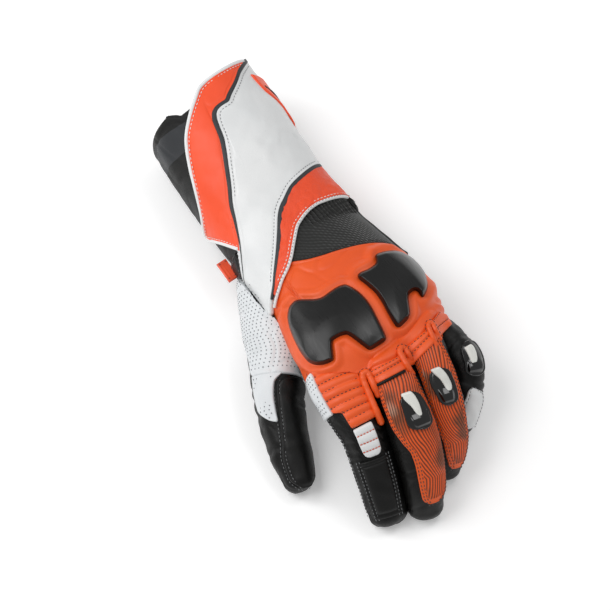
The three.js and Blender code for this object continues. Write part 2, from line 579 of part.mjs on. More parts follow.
function buildCuff() {
  const thumbPath = THUMB_SEAM.filter((row) => row.angle > -90);
  const thumbStripe = (layer, spare) => ribbon(thumbPath, -STRIPE, 0, layer, spare);
  const outerStripe = (layer, spare) => ribbon(OUTER_SEAM, 0, STRIPE, layer, spare);
  const [thumbCut, outerCut] = [thumbStripe(OVER_CUT, GAP), outerStripe(OVER_CUT, GAP)];
  place('thumb_side_stripe', without(thumbStripe(OVER, 0), [thumbOutside, outerCut]), 'charcoal');
  place('outer_stripe', outerStripe(OVER, 0).subtract(thumbOutside), 'charcoal');
  const underStripe = STRIPE / 2;
  place('centre_panel', without(handPanel({
    angles: stations(-86, OVER_EDGE, [THUMB_SEAM, OUTER_SEAM]),
    top: (angle) => Math.min(across(RIM)(angle), across(THUMB_SEAM, underStripe)(angle)),
    bottom: across(OUTER_SEAM, -underStripe), along: 6, layer: OVER,
  }), [thumbCut, outerCut, thumbOutside]), 'white');
  const flapBottom = (angle) => (angle < -60 ? across(FLAP_BOTTOM)(angle) : across(THUMB_SEAM, underStripe)(angle));
  const flapPiping = (radius) => cordOnCuff([...FLAP_TOP, ...FLAP_BOTTOM], -PIPING - GAP, radius);
  const patchPiping = (radius) => cordOnCuff(PIPED_EDGE, PIPING + GAP, radius);
  place('thumb_side_flap', without(handPanel({
    angles: stations(-98, 54, [FLAP_TOP, FLAP_BOTTOM, THUMB_SEAM]),
    top: across(FLAP_TOP), bottom: flapBottom, along: 3, layer: OVER,
  }), [thumbCut, flapPiping(PIPING + GAP)]), 'orange');
  place('outer_cuff_patch', without(handPanel({
    angles: stations(-60, OVER_EDGE, [OUTER_SEAM, PIPED_EDGE]),
    top: across(OUTER_SEAM, -underStripe), bottom: across(PIPED_EDGE), along: 3, layer: OVER,
  }), [outerCut, thumbOutside, patchPiping(PIPING + GAP)]), 'orange');
  place('rim_wedge', handPanel({
    angles: [50, 51.5, 55, 60, 67, 72, 78, 84], top: across(WEDGE_TOP), bottom: across(WEDGE_BOTTOM), along: 4,
    layer: WEDGE,
  }), 'orange');
  place('lower_cuff', handPanel({
    angles: stations(HIDDEN_EDGE, WHOLE_TURN + UNDER_FLAP), top: always(CUFF_HEM),
    bottom: always(WRIST_SEAM + GAP), along: 7, layer: BASE,
  }).add(handPanel({
    angles: HEM_UNDER_FLAP.map((row) => row.angle), top: across(HEM_UNDER_FLAP), bottom: always(UNDER_FLAP_END),
    along: 5, layer: BASE,
  })), 'leather');
  place('flap_piping', flapPiping(PIPING), 'white');
  place('patch_piping', patchPiping(PIPING).subtract(thumbOutside), 'white');
}

function buildWrist() {
  const end = across(RIBBING_END);
  const ruches = 26;
  const halfDegree = 0.5;
  const ribbingAngles = (spare) => Array.from({ length: ruches + 1 }, (_, i) => (
    UNDER_FLAP + halfDegree - spare + (i / ruches) * (STRIP_EDGE - UNDER_FLAP - 2 * halfDegree + 2 * spare)));
  place('wrist_ribbing', handPanel({
    angles: ribbingAngles(0), top: always(RIBBING_TOP), bottom: across(RIBBING_END, GAP), along: 3, layer: BASE,
    relief: (u, v) => -RIB * Math.max(0, 1 - v * 1.5) * (Math.round(u * ruches) % 2),
  }), 'knit');
  const stripAngles = stations(STRIP_EDGE, SIDE_SEAM - halfDegree);
  const stripSpace = stripAngles.map((angle, i) => angle + (i === 0 ? -1 : i === stripAngles.length - 1 ? 4 : 0));
  place('wrist_side_strip', handPanel({
    angles: stripAngles, top: always(WRIST_SEAM), bottom: across(RIBBING_END, GAP * 2),
    along: 4, layer: BASE,
  }), 'leather');
  const backAngles = stations(-SIDE_SEAM + halfDegree, SIDE_SEAM - halfDegree, [RIBBING_END]);
  place('hand_back', without(handPanel({
    angles: backAngles, top: (angle) => end(angle) + (angle > UNDER_FLAP ? 3 : 0), bottom: always(FINGER_SEAM),
    along: 7, layer: BASE,
  }), [handPanel({
    angles: ribbingAngles(halfDegree), top: always(RIBBING_TOP), bottom: end, along: 3, layer: CUT,
  }), handPanel({
    angles: stripSpace, top: always(RIBBING_TOP), bottom: end, along: 4, layer: CUT,
  }), ...digitSpaces]), 'orange');
  const strapEnd = -67; // angle where the strap goes under the flap
  const strapTop = (angle) => Math.min(
    angle < OVER_EDGE + 10 ? PATCH_END - 3 : PATCH_END + 5,
    angle > WHOLE_TURN / 2 ? across(FLAP_BOTTOM, -5)(angle - WHOLE_TURN) : WHOLE_TURN,
  );
  const strapBottom = (angle) => (angle > WHOLE_TURN / 2 ? Math.max(22, across(THUMB_SEAM, 5.5)(angle - WHOLE_TURN)) : 22);
  place('wrist_strap', handPanel({
    angles: stations(STRIP_EDGE, WHOLE_TURN + strapEnd), top: strapTop, bottom: strapBottom, along: 2, layer: STRAP,
  }).subtract(thumbOutside), 'leather');
  const tab = { angle: -94, thick: 3, from: STRAP.high + GAP, wide: 9, top: 44, long: 17 };
  place('strap_tab', slab(2, 3, (u, v, side) => skinPoint(
    frameAt(hand, placeAtY(tab.top - v * tab.long)), tab.angle - side * tab.thick, tab.from + u * tab.wide,
  )), 'orange');
}

function buildHand() {
  const thumbBase = 12.4; // y where the palm meets the back beside the thumb
  const wristSide = handPanel({
    angles: stations(SIDE_SEAM, WHOLE_TURN + UNDER_FLAP), top: always(WRIST_SEAM), bottom: always(thumbBase),
    along: 2, layer: BASE,
  });
  const fingerSide = handPanel({
    angles: stations(SIDE_SEAM, WHOLE_TURN - SIDE_SEAM), top: always(thumbBase + 1), bottom: always(FINGER_SEAM),
    along: 6, layer: BASE,
  });
  place('palm', without(wristSide.add(fingerSide), digitSpaces), 'leather');
  const fingers = [index, middle, ring, little];
  const over = (onHand, onFingers) => joined([
    tubeSolid(hand, onHand, { fine: true }), ...fingers.map((tube) => tubeSolid(tube, onFingers, { fine: true })),
  ]);
  const guardSpace = over(GUARD_HEIGHT, GUARD_HEIGHT + FACING.high).subtract(over(LAP + 0.3, FACING.high + LAP + RIB));
  const sideSeamHeight = 44;
  const upperHalf = boxSolid([-90, -140, sideSeamHeight], [90, 60, 140]);
  place('knuckle_guard_index', column(INDEX_GUARD).intersect(guardSpace).intersect(upperHalf), 'gloss');
  place('knuckle_guard_ring', column(RING_GUARD).intersect(guardSpace).intersect(upperHalf), 'gloss');
}

// A digit's hollow sheath, open where it meets the hand.
function buildSheath(name, cuts, look) {
  const tube = digits[name];
  place(`${name}_sheath`, without(tubeSolid(tube, 0), [tubeSolid(tube, -WALL, { past: 12 }), tubeSolid(hand, LAP), ...cuts]), look);
}

// A panel sewn on a digit.
function buildFacing(name, tube, edges, size, look, cuts = [], relief) {
  const solid = digitPanel({ tube, edges, ...size, layer: FACING, relief });
  place(name, without(solid, [handOutside, ...cuts]), look);
}

// A slider with its window, and the insert in the window.
function buildSlider(name, edges, insertEdges, layer = SLIDER) {
  const tube = digits[name];
  const crown = (u, v) => SLIDER_CROWN * (1 - (2 * u - 1) ** 4) * (1 - (2 * v - 1) ** 4);
  const body = digitPanel({ tube, edges, across: 6, along: 6, layer, relief: crown });
  const windowTable = insertEdges.map((row, i) => ({
    place: row.place + (i === 0 ? -0.04 : i === insertEdges.length - 1 ? 0.04 : 0),
    left: row.left - 2,
    right: row.right + 2,
  }));
  place(`${name}_slider`, body.subtract(digitPanel({ tube, edges: windowTable, across: 2, along: 3, layer: CUT })), 'gloss');
  const insertLayer = { low: layer.low, high: layer.high + SLIDER_CROWN * 0.8 };
  place(`${name}_insert`, digitPanel({ tube, edges: insertEdges, across: 2, along: 3, layer: insertLayer }), 'insert');
}

function buildDigits() {
  buildSheath('thumb', [], 'leather');
  buildSheath('index', [spaces.thumb], 'leather');
  buildSheath('middle', [spaces.index], 'leather');
  buildSheath('ring', [spaces.middle], 'leather');
  buildSheath('little', [spaces.ring], 'leather');
  const gussetLayer = { low: LAP + 0.6, high: FACING.high + 0.3 };
  const upper = digitPanel({ tube: thumb, edges: GUSSET_UPPER, across: 11, along: 9, layer: gussetLayer });
  const lower = digitPanel({ tube: thumb, edges: GUSSET_LOWER, across: 4, along: 7, layer: gussetLayer });
  place('thumb_gusset', upper.add(lower).subtract(handOutside), 'perforated');
  buildFacing('thumb_top', thumb, THUMB_TOP, { across: 7, along: 9 }, 'leather');
  const ribs = (count) => (u, v) => RIB * (Math.round(v * count * 2) % 2);
  buildFacing('index_ribbing', index, INDEX_RIBBED, { across: 8, along: 16 }, 'orange', [outsides.middle], ribs(8));
  buildFacing('index_web_panel', index, INDEX_WEB, { across: 4, along: 4 }, 'perforated', [thumbOutside]);
  buildFacing('index_patch', index, INDEX_PATCH, { across: 4, along: 8 }, 'white', [], ribs(4));
  buildFacing('index_tip', index, INDEX_TIP, { across: 6, along: 6 }, 'leather');
  buildFacing('middle_top', middle, MIDDLE_TOP, { across: 8, along: 11 }, 'textured', [raisedOutsides.index, outsides.ring]);
  buildFacing('ring_top', ring, RING_TOP, { across: 7, along: 11 }, 'textured', [raisedOutsides.middle, outsides.little]);
  buildFacing('little_patch', little, LITTLE_PATCH, { across: 5, along: 5 }, 'white', [raisedOutsides.ring]);
  buildSlider('middle', MIDDLE_SLIDER, MIDDLE_INSERT);
  buildSlider('ring', RING_SLIDER, RING_INSERT);
  buildSlider('little', LITTLE_SLIDER, LITTLE_INSERT, FACING);
}

function buildLoops() {
  for (const [name, { under, path }] of Object.entries(LOOPS)) {
    const points = path.map((row) => skinPoint(
      frameAt(digits[row.tube], row.place), row.angle, under[row.tube] + LAP + LOOP,
    ));
    place(name, cordSolid(points, LOOP, 10), 'orange');
  }
}

buildCuff();
buildWrist();
buildHand();
buildDigits();
buildLoops();

export default glove;
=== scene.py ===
"""A left-hand long-cuff motorcycle glove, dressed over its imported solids.

The shapes are worked out in millimetres on six soft tubes (the cuff with the hand, the thumb and four
fingers) and are turned to metres when a mesh is made. x runs to the little finger, y from the fingertips
to the open cuff, and z up.
"""
import math
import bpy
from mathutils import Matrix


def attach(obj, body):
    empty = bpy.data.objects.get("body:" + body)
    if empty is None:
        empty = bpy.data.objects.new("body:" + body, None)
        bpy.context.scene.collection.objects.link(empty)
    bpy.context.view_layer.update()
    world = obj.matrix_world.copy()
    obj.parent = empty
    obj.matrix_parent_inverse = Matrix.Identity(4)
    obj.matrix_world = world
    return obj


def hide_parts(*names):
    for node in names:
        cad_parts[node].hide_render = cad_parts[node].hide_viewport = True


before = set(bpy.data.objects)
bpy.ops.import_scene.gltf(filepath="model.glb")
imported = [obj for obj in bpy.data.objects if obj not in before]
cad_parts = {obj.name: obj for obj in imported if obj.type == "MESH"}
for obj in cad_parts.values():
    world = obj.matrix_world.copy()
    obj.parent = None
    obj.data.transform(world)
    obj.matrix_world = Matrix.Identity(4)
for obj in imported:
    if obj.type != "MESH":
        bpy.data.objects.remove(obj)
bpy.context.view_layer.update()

from types import SimpleNamespace

import bmesh
import bpy
import numpy as np
from mathutils import Matrix, Vector
from mathutils.bvhtree import BVHTree
from mathutils.geometry import delaunay_2d_cdt

# Driving dimensions, in millimetres
METRES = 0.001
LAYOUT_SHIFT = np.array([21.06, 14.21, 0.0])  # puts the middle of the footprint on the origin
WALL = 2.2  # leather with its lining
OVER = 2.8  # top of the panels that lie over the cuff
STRAP = 2.4  # top of the wrist strap
SUNK = -0.1  # underside of both, a little into the leather
FACING = 1.8  # top of the panels sewn on a digit
SEAT = -0.3  # their underside, a little into the leather
STRIPE = 3.0  # width of a charcoal stripe
PIPING = 1.1  # radius of the white piping
RIB = 1.1  # how far a sewn rib stands up
GUARD_HEIGHT = 4.6  # knuckle guards over the leather
MM_PER_DEGREE = 0.76  # round the cuff and hand, about

# The tubes. Columns: x, y, z of the section's middle; half its width; rise and drop above and below the
# middle; crown and sole, the squareness above and below; roll of the back towards the little finger.
HAND_ROWS = [
    (-0.8, 156, 37, 41.7, 38, 39, 2.2, 2.8, 0),
    (-0.8, 130, 36, 42.3, 38, 38, 2.2, 2.8, 0),
    (-1.0, 105, 35, 43.3, 38, 37, 2.2, 2.8, 0),
    (-1.8, 82, 34, 43.3, 36, 36, 2.2, 2.7, 0),
    (-2.0, 59, 34, 42.8, 32, 33, 2.2, 2.6, 0),
    (-1.0, 36, 36, 44.2, 29, 30, 2.2, 2.5, 0),
    (-0.6, 12, 38, 46.0, 30, 31, 2.2, 2.4, 2),
    (0.8, -14, 42, 49.0, 32, 31, 2.3, 2.4, 4),
    (1.8, -38, 47, 52.0, 31, 30, 2.4, 2.5, 6),
    (-1.0, -60, 50, 54.0, 30, 28, 2.5, 2.6, 8),
    (-5.8, -80, 51, 53.3, 27, 24, 2.6, 2.6, 8),
    (-10.0, -96, 51, 48.0, 20, 17, 2.6, 2.6, 8),
]
INDEX_ROWS = [
    (-37.0, -66, 58, 17.0, 14, 14, 2.4, 2.4, -6),
    (-42.0, -88, 58.5, 18.0, 14.5, 14.5, 2.4, 2.4, -6),
    (-44.8, -107, 55, 16.6, 14, 14, 2.3, 2.3, -5),
    (-46.0, -124, 48, 14.6, 13.5, 13.5, 2.3, 2.3, -4),
    (-48.0, -138, 36, 14.2, 13, 13, 2.2, 2.2, -4),
    (-50.6, -152, 23, 13.6, 12.2, 12.2, 2.2, 2.2, -4),
    (-53.2, -164, 9.4, 12.6, 11, 11, 2.2, 2.2, -4),
]
MIDDLE_ROWS = [
    (-1.0, -74, 60, 14.4, 14, 14, 2.4, 2.4, 8),
    (-9.5, -98, 62, 14.8, 14, 14, 2.4, 2.4, 8),
    (-14.2, -119, 59, 15.0, 13.6, 13.6, 2.3, 2.3, 8),
    (-17.6, -138, 50, 15.6, 13, 13, 2.3, 2.3, 8),
    (-21.4, -154, 37, 15.0, 12.6, 12.6, 2.2, 2.2, 8),
    (-25.6, -166, 23, 13.8, 12, 12, 2.2, 2.2, 8),
    (-28.6, -174, 8.8, 12.0, 11, 11, 2.2, 2.2, 8),
]
RING_ROWS = [
    (26.0, -76, 56, 13.0, 13, 13, 2.4, 2.4, 22),
    (20.0, -100, 57, 13.0, 13, 13, 2.4, 2.4, 22),
    (16.2, -120, 52, 12.8, 12.6, 12.6, 2.3, 2.3, 22),
    (11.6, -136, 43, 12.6, 12.2, 12.2, 2.3, 2.3, 22),
    (6.4, -147, 31, 12.2, 11.8, 11.8, 2.2, 2.2, 22),
    (1.4, -153, 20.5, 11.8, 11.2, 11.2, 2.2, 2.2, 22),
    (-2.4, -156, 8.0, 11.2, 10.4, 10.4, 2.2, 2.2, 22),
]
LITTLE_ROWS = [
    (36.0, -74, 43, 11.8, 12, 11.6, 2.4, 2.4, 48),
    (41.0, -95, 42.5, 12.0, 12, 11.6, 2.4, 2.4, 48),
    (42.0, -113, 38.5, 11.8, 11.8, 11.5, 2.3, 2.3, 48),
    (34.6, -126, 29.5, 11.6, 11.4, 11, 2.3, 2.3, 46),
    (28.4, -131, 19.5, 11.2, 10.8, 10.6, 2.2, 2.2, 44),
    (23.6, -133.5, 8.0, 10.6, 10.2, 10.2, 2.2, 2.2, 44),
]
THUMB_ROWS = [
    (-16.0, 26, 33, 23.0, 21, 20, 2.2, 2.2, -20),
    (-32.0, 2, 32, 23.0, 20, 20, 2.2, 2.2, -22),
    (-49.0, -25, 30, 21.0, 18, 19, 2.2, 2.2, -24),
    (-63.5, -46, 28, 18.0, 16, 17, 2.2, 2.2, -26),
    (-73.0, -62, 24, 15.6, 15, 15.5, 2.2, 2.2, -28),
    (-81.0, -81, 18.6, 14.0, 13.6, 14, 2.2, 2.2, -28),
    (-86.0, -99, 13.4, 12.4, 12, 12, 2.2, 2.2, -28),
    (-89.5, -112, 9.8, 10.4, 10, 10, 2.2, 2.2, -28),
]

# Seams on the cuff and hand. Columns: y, angle round the tube. 0 is the top, plus the little finger's side.
THUMB_SEAM = [
    (154, 76), (140, 39), (132.5, 26), (126.5, 15), (122.5, 8), (122, 2), (120.5, -2), (117, -5),
    (110, -7.4), (103.5, -8.8), (95, -12.2), (86, -17), (72, -25.5), (60, -35), (50, -41.5), (35, -54),
    (24, -68), (13, -88), (0, -100),
]
OUTER_SEAM = [
    (70, 108), (64, 77), (59, 47), (55, 28), (51, 13), (45, 2), (39, -6), (27, -17), (15, -29), (4, -42),
    (-6, -56), (-16, -80),
]
FLAP_TOP = [
    (151, 56), (145.5, 14), (143.5, -2), (137.5, -10), (131.5, -19.5), (120.5, -35.5), (113.5, -42.5),
    (100.5, -52), (88, -60), (77, -70), (71.5, -80), (68, -98),
]
FLAP_BOTTOM = [(64.5, -98), (59, -92), (49.5, -76), (41.5, -66), (36, -60)]
PIPED_EDGE = [
    (31, 68), (31, 24), (30, 15), (27.5, 6), (24, -1), (14.5, -12), (4, -24), (-1, -32), (-6, -44),
    (-10, -53), (-16, -70), (-22, -88),
]
RIBBING_END = [
    (12, -43), (6, -42), (2, -28), (-5, -12), (-10, 6), (-14, 26), (-17, 42), (-27, 66), (-36, 100),
]
RIM = [(143, -20), (144, 0), (146, 14), (151, 50), (153, 70), (150, 90), (146, 108)]
WEDGE_TOP = [(137.5, 50), (136, 76), (128, 84)]
WEDGE_BOTTOM = [(133, 50), (126, 51.5), (121, 55), (117.5, 60), (114, 67), (105, 72), (99, 84)]
HEM_UNDER_FLAP = [(141.5, 316), (140, 320), (137, 326), (134.5, 330), (134.5, 338), (134.5, 346)]

# Panels on the digits. Columns: place, counted in section rows from the root; left and right edge angle.
INDEX_RIBBED = [(0.6, -42, 74), (1.9, -42, 66), (2.05, -22, 62), (2.6, -22, 56)]
INDEX_PATCH = [(2.64, -22, 22), (3.1, -22, 23), (3.38, -20, 23), (3.52, -16, 19), (3.6, -8, 11)]
INDEX_WEB = [(0.6, -112, -44), (1.4, -108, -44), (1.95, -98, -44)]
INDEX_TIP = [(3.7, -52, 46), (4.6, -50, 46), (5.9, -46, 44)]
MIDDLE_TOP = [
    (1.2, -58, 44), (1.6, -58, 52), (2.06, -64, 62), (2.6, -62, 70), (3.2, -44, 74), (3.6, -28, 76),
    (4.5, -22, 74), (5.1, -20, 60), (5.4, -10, 30),
]
RING_TOP = [
    (0.7, -76, 16), (1.3, -79, 25), (1.9, -80, 30), (2.7, -76, 32), (3.4, -58, 40), (4.0, -37, 54),
    (4.7, -14, 64), (5.3, 2, 52),
]
THUMB_TOP = [
    (3.3, 40, 96), (3.5, 22, 112), (4.6, 18, 116), (5.4, 8, 112), (6.0, -4, 108), (6.9, -8, 100),
    (7.6, 10, 84),
]
GUSSET_UPPER = [(0.7, -116, 84), (1.9, -100, 100), (2.3, -66, 110), (2.7, -46, 114), (3.24, -36, 118)]
GUSSET_LOWER = [(3.2, -36, 36), (3.5, -36, 18), (4.3, -32, 14), (4.62, -10, 14), (4.76, 6, 14)]
LITTLE_PATCH = [(2.75, -36, -6), (3.0, -40, 20), (3.7, -38, 46), (4.6, 0, 52)]
MIDDLE_SLIDER = [
    (1.98, -6, 20), (2.12, -15, 29), (2.42, -17, 36), (2.72, -18, 39), (2.92, -13, 37), (3.06, 0, 28),
]
MIDDLE_INSERT = [(1.98, -9, 10), (2.14, -7, 15), (2.35, -1, 17), (2.74, 4, 14)]
RING_SLIDER = [
    (1.62, -36, -8), (1.76, -48, 3), (1.97, -52, 7), (2.4, -44, 10), (2.67, -36, 8), (2.79, -24, -6),
]
RING_INSERT = [(1.62, -40, -14), (1.78, -34, -7), (1.98, -24, -2), (2.2, -18, 0), (2.46, -14, -4)]
LITTLE_SLIDER = [(1.42, -42, 0), (1.56, -56, 10), (1.9, -62, 14), (2.26, -58, 12), (2.42, -44, 4)]
LITTLE_INSERT = [(1.56, -44, -14), (1.7, -44, -10), (1.95, -42, -14), (2.1, -38, -20)]

# The drawing plane faces the back of the hand and is square to the camera's line of sight.
TURN = math.radians(-33)
TILT = math.radians(63)
RIGHT = np.array([math.cos(TURN), math.sin(TURN), 0.0])
BACK = np.array([math.sin(TURN) * math.cos(TILT), -math.cos(TURN) * math.cos(TILT), math.sin(TILT)])
UP = np.cross(BACK, RIGHT)

# Outlines of the knuckle guards. Columns: right, up on the drawing plane.
INDEX_GUARD = [
    (-20, -7.5), (-16, -3.4), (-12, -2.8), (-2.7, -2.8), (2, -1.5), (7.3, 2.5), (12.6, 5.9), (17, 7.2),
    (20.6, 5.9), (26, 2.5), (31.3, -2.8), (35.3, -8.8), (39.3, -16.8), (42.6, -23.5), (44.6, -28.6),
    (43.6, -30.6), (35.3, -36.1), (33, -36.8), (29.9, -34.8), (20.6, -27.5), (17.6, -26.1),
    (13.9, -27.5), (9.3, -30.1), (8.4, -32.6), (9.3, -40.1), (9.4, -43.6), (3.9, -46.1), (-2.1, -46.8),
    (-7.4, -44.8), (-12.7, -38.1), (-16.7, -30.1), (-20.1, -21.5), (-21.4, -14.1),
]
RING_GUARD = [
    (37, 27), (43.3, 29.2), (50.6, 29.9), (56, 28.5), (61.9, 25.2), (67.3, 19.9), (71.3, 13.9),
    (72.6, 7.9), (71.9, 3.2), (69.3, -2.1), (67.6, -1.5), (65.3, 2.3), (63, 2.8), (60.2, 0.8),
    (59.2, -2.4), (60.6, -12.1), (59, -16.4), (53.9, -21.5), (51.6, -21.9), (49.9, -20.1),
    (45.9, -13.5), (41.9, -5.5), (37.3, 1.2), (31.3, 6.5), (26, 10.5), (25.3, 13.2), (27.3, 15.2),
    (32.6, 17.2), (37.3, 20.5), (37.9, 22.5),
]

# The stitched folds over the finger roots, and the hairpin loops on them. Columns: right, up.
FOLD_BAND = [
    (32.5, -50.8), (51.1, -41.1), (57.3, -34.9), (70.2, -23.8), (75.1, -17.1), (80, -11), (85, -13),
    (88.5, -19.3), (79.7, -28.1), (75.7, -32.5), (62.8, -45.4), (56.6, -49.7), (38.4, -59), (34, -57.5),
]
FOLD_VALLEY = [(34, -55.4), (53.5, -44.2), (60.3, -39.9), (72.7, -27.5), (78.4, -21.6), (85.5, -16)]
ROOT_GAP = [(37.4, -60.2), (56.2, -50.4)]
# The orange leather between the guards and the fold band
ROOT_COVER = [
    (30, -52), (33, -42), (43, -35), (52, -28), (58, -22), (64, -14), (72, -8), (80, -8), (80, -14),
    (72.7, -24), (60.3, -37), (51.1, -43),
]
LOOPS = {
    "loop_index_middle": [
        (40.8, -84), (37.8, -77), (34.9, -70.5), (31.7, -62.7), (29.2, -56.5), (28.9, -52.4), (31.3, -51.2),
        (33.6, -54.5), (35.9, -59.4), (38.9, -66),
    ],
    "loop_middle_ring": [
        (61.6, -52.5), (58.3, -47.2), (55.4, -42.3), (53.3, -38.0), (54.0, -35.1), (56.6, -35.9),
        (58.9, -39.6), (61.4, -44.6),
    ],
    "loop_ring_little": [
        (77.2, -33.2), (74.5, -26.5), (72.4, -21.3), (72.8, -18.6), (74.9, -19.3), (77, -23.4),
        (79.9, -29.2),
    ],
}
LOOP_RADII = {"loop_index_middle": 2.35, "loop_middle_ring": 2.05, "loop_ring_little": 1.75}
FOLD_HEIGHT = 1.6

CUFF_HEM = 141
WRIST_SEAM = 34  # y where the lower cuff meets the palm
RIBBING_TOP = 39
FINGER_SEAM = -95  # y where the hand's panels end between the fingers
THUMB_BASE = 12.4  # y where the palm meets the back beside the thumb
OVER_EDGE = 108
HIDDEN_EDGE = 88
UNDER_FLAP = -42
STRIP_EDGE = 72
SIDE_SEAM = 99.5


# Curves and fields

def unit(vectors):
    return vectors / np.linalg.norm(vectors, axis=-1, keepdims=True)


def cubic(t, start, end, leave, arrive):
    """From start to end as t goes from 0 to 1, with the slopes at both ends."""
    return ((2 * t ** 3 - 3 * t ** 2 + 1) * start + (t ** 3 - 2 * t ** 2 + t) * leave
            + (3 * t ** 2 - 2 * t ** 3) * end + (t ** 3 - t ** 2) * arrive)


def smooth_curve(xs, ys):
    """A curve through the points that never swings past them, constant beyond its ends."""
    order = np.argsort(xs)
    x, y = np.array(xs, float)[order], np.array(ys, float)[order]
    gap = np.diff(x)
    slope = np.diff(y) / gap
    both = slope[1:] * slope[:-1]
    between = np.where(both > 0, 2 * both / np.where(both > 0, slope[1:] + slope[:-1], 1), 0)
    lean = np.concatenate([slope[:1], between, slope[-1:]])

    def value(at):
        at = np.clip(at, x[0], x[-1])
        i = np.clip(np.searchsorted(x, at, side="right") - 1, 0, len(gap) - 1)
        return cubic((at - x[i]) / gap[i], y[i], y[i + 1], lean[i] * gap[i], lean[i + 1] * gap[i])
    return value


def through(rows, place):
    """A smooth curve through rows, at places that are counted in rows."""
    last = len(rows) - 1
    place = np.clip(place, 0, last)
    i = np.clip(np.floor(place).astype(int), 0, last - 1)
    a, b, c, d = (rows[np.clip(i + k, 0, last)] for k in (-1, 0, 1, 2))
    return cubic((place - i)[..., None], b, c, (c - a) / 2, (d - b) / 2)


def lengths_along(points):
    """How far along a line each of its points lies."""
    return np.concatenate([[0], np.cumsum(np.linalg.norm(np.diff(points, axis=0), axis=1))])


def seam_curve(rows):
    """The y of a seam on the cuff or hand at an angle."""
    return smooth_curve([angle for _, angle in rows], [y for y, _ in rows])


def level(y):
    """A seam at the same y all round."""
    return lambda angle: y + 0 * angle


def edge_curves(edges):
    """The places of a digit's panel, and its left and right edge angles as curves."""
    places, *sides = zip(*edges)
    return (places, *(smooth_curve(places, side) for side in sides))


def across_circle(share):
    """0 at the edge and 1 from share 1 on, round like a quarter of a circle."""
    return np.sqrt(1 - (1 - np.clip(share, 0, 1)) ** 2)


def step_up(value, start, end):
    """0 before start, 1 after end, and smooth between them."""
    t = np.clip((value - start) / (end - start), 0, 1)
    return t * t * (3 - 2 * t)


def bell(value, middle, width):
    return np.exp(-((value - middle) / width) ** 2)


def swell(points, size, seed):
    """A soft random field of about -1 to 1, whose bumps are size millimetres across."""
    draw = np.random.default_rng(seed)
    bent = points + 0.3 * size * np.sin(points[..., [1, 2, 0]] * math.tau / (2.3 * size) + seed)
    total = np.zeros(points.shape[:-1])
    for _ in range(7):
        wave = bent @ unit(draw.normal(size=3)) * math.tau / (size * draw.uniform(0.9, 1.6))
        total += np.sin(wave + draw.uniform(0, math.tau))
    return total / 3


def creases(points, size, seed, sharpness=0.16):
    """0 to 1, highest along the crossing lines of a crumpled surface."""
    return np.exp(-(swell(points, size, seed) / sharpness) ** 2)


# The tubes

class Tube:
    """A soft tube through rows of sections, closed by a dome after its last row."""

    def __init__(self, rows, dome, straight=False):
        self.rows = np.array(rows, float)
        self.last = len(rows) - 1
        self.dome = dome
        self.straight = straight
        self.places = np.linspace(0, self.last, 40 * self.last + 1)
        self.lengths = lengths_along(self.row(self.places)[:, :3])
        self.end = self.lengths[-1]
        self.reach = self.end + dome * math.pi / 2
        self.mean_radius = self.rows[:, 3:5].mean()

    def length_at(self, place):
        over = np.clip(place - self.last, 0, 1) * self.dome * math.pi / 2
        return np.interp(place, self.places, self.lengths) + over

    def place_at(self, length):
        over = np.clip((length - self.end) / (self.dome * math.pi / 2), 0, 1)
        return np.interp(length, self.lengths, self.places) + over

    def row(self, place):
        return through(self.rows, place)

    def frame(self, place):
        """The section's row and its directions: to the tip, out of the back, to the little finger."""
        place = np.clip(place, 0, self.last)
        row = self.row(place)
        along = np.broadcast_to([0.0, -1.0, 0.0], row[..., :3].shape)
        if not self.straight:
            near = self.row(np.maximum(place - 0.05, 0))
            far = self.row(np.minimum(place + 0.05, self.last))
            along = unit(far[..., :3] - near[..., :3])
        back = unit(np.array([0.0, 0.0, 1.0]) - along * along[..., 2:3])
        across = np.cross(back, along)
        roll = np.radians(row[..., 8:9])
        return (row, along, back * np.cos(roll) + across * np.sin(roll),
                across * np.cos(roll) - back * np.sin(roll))

    def skin(self, place, angle, grow):
        """Points at a distance out of the skin. Leather that meets the table lies flat on it."""
        place, angle, grow = np.broadcast_arrays(np.asarray(place, float), angle, np.asarray(grow, float))
        row, along, back, across = self.frame(place)
        lean = np.radians(90 * np.clip(place - self.last, 0, 1))
        s, c = np.sin(np.radians(angle)), np.cos(np.radians(angle))
        power = 2 / np.where(c >= 0, row[..., 6], row[..., 7])
        height = np.where(c >= 0, row[..., 4], row[..., 5])
        wide = np.sign(s) * np.abs(s) ** power * (row[..., 3] + grow) * np.cos(lean)
        high = np.sign(c) * np.abs(c) ** power * (height + grow) * np.cos(lean)
        out = (self.dome + grow) * np.sin(lean)
        point = row[..., :3] + across * wide[..., None] + back * high[..., None] + along * out[..., None]
        point[..., 2] = np.maximum(point[..., 2], -np.minimum(grow, 0))
        return point

    def mm_per_degree(self, place):
        row = self.row(place)
        return math.radians(1) * (row[..., 3] + row[..., 4]) / 2 * 1.06


hand = Tube(HAND_ROWS, 6, straight=True)
thumb = Tube(THUMB_ROWS, 9)
index = Tube(INDEX_ROWS, 9)
middle = Tube(MIDDLE_ROWS, 9)
ring = Tube(RING_ROWS, 8)
little = Tube(LITTLE_ROWS, 8)
HAND_YS = hand.row(hand.places)[:, 1]


def hand_place(y):
    return np.interp(-np.asarray(y, float), -HAND_YS, hand.places)


def on_hand(y, angle, grow):
    return hand.skin(hand_place(y), angle, grow)


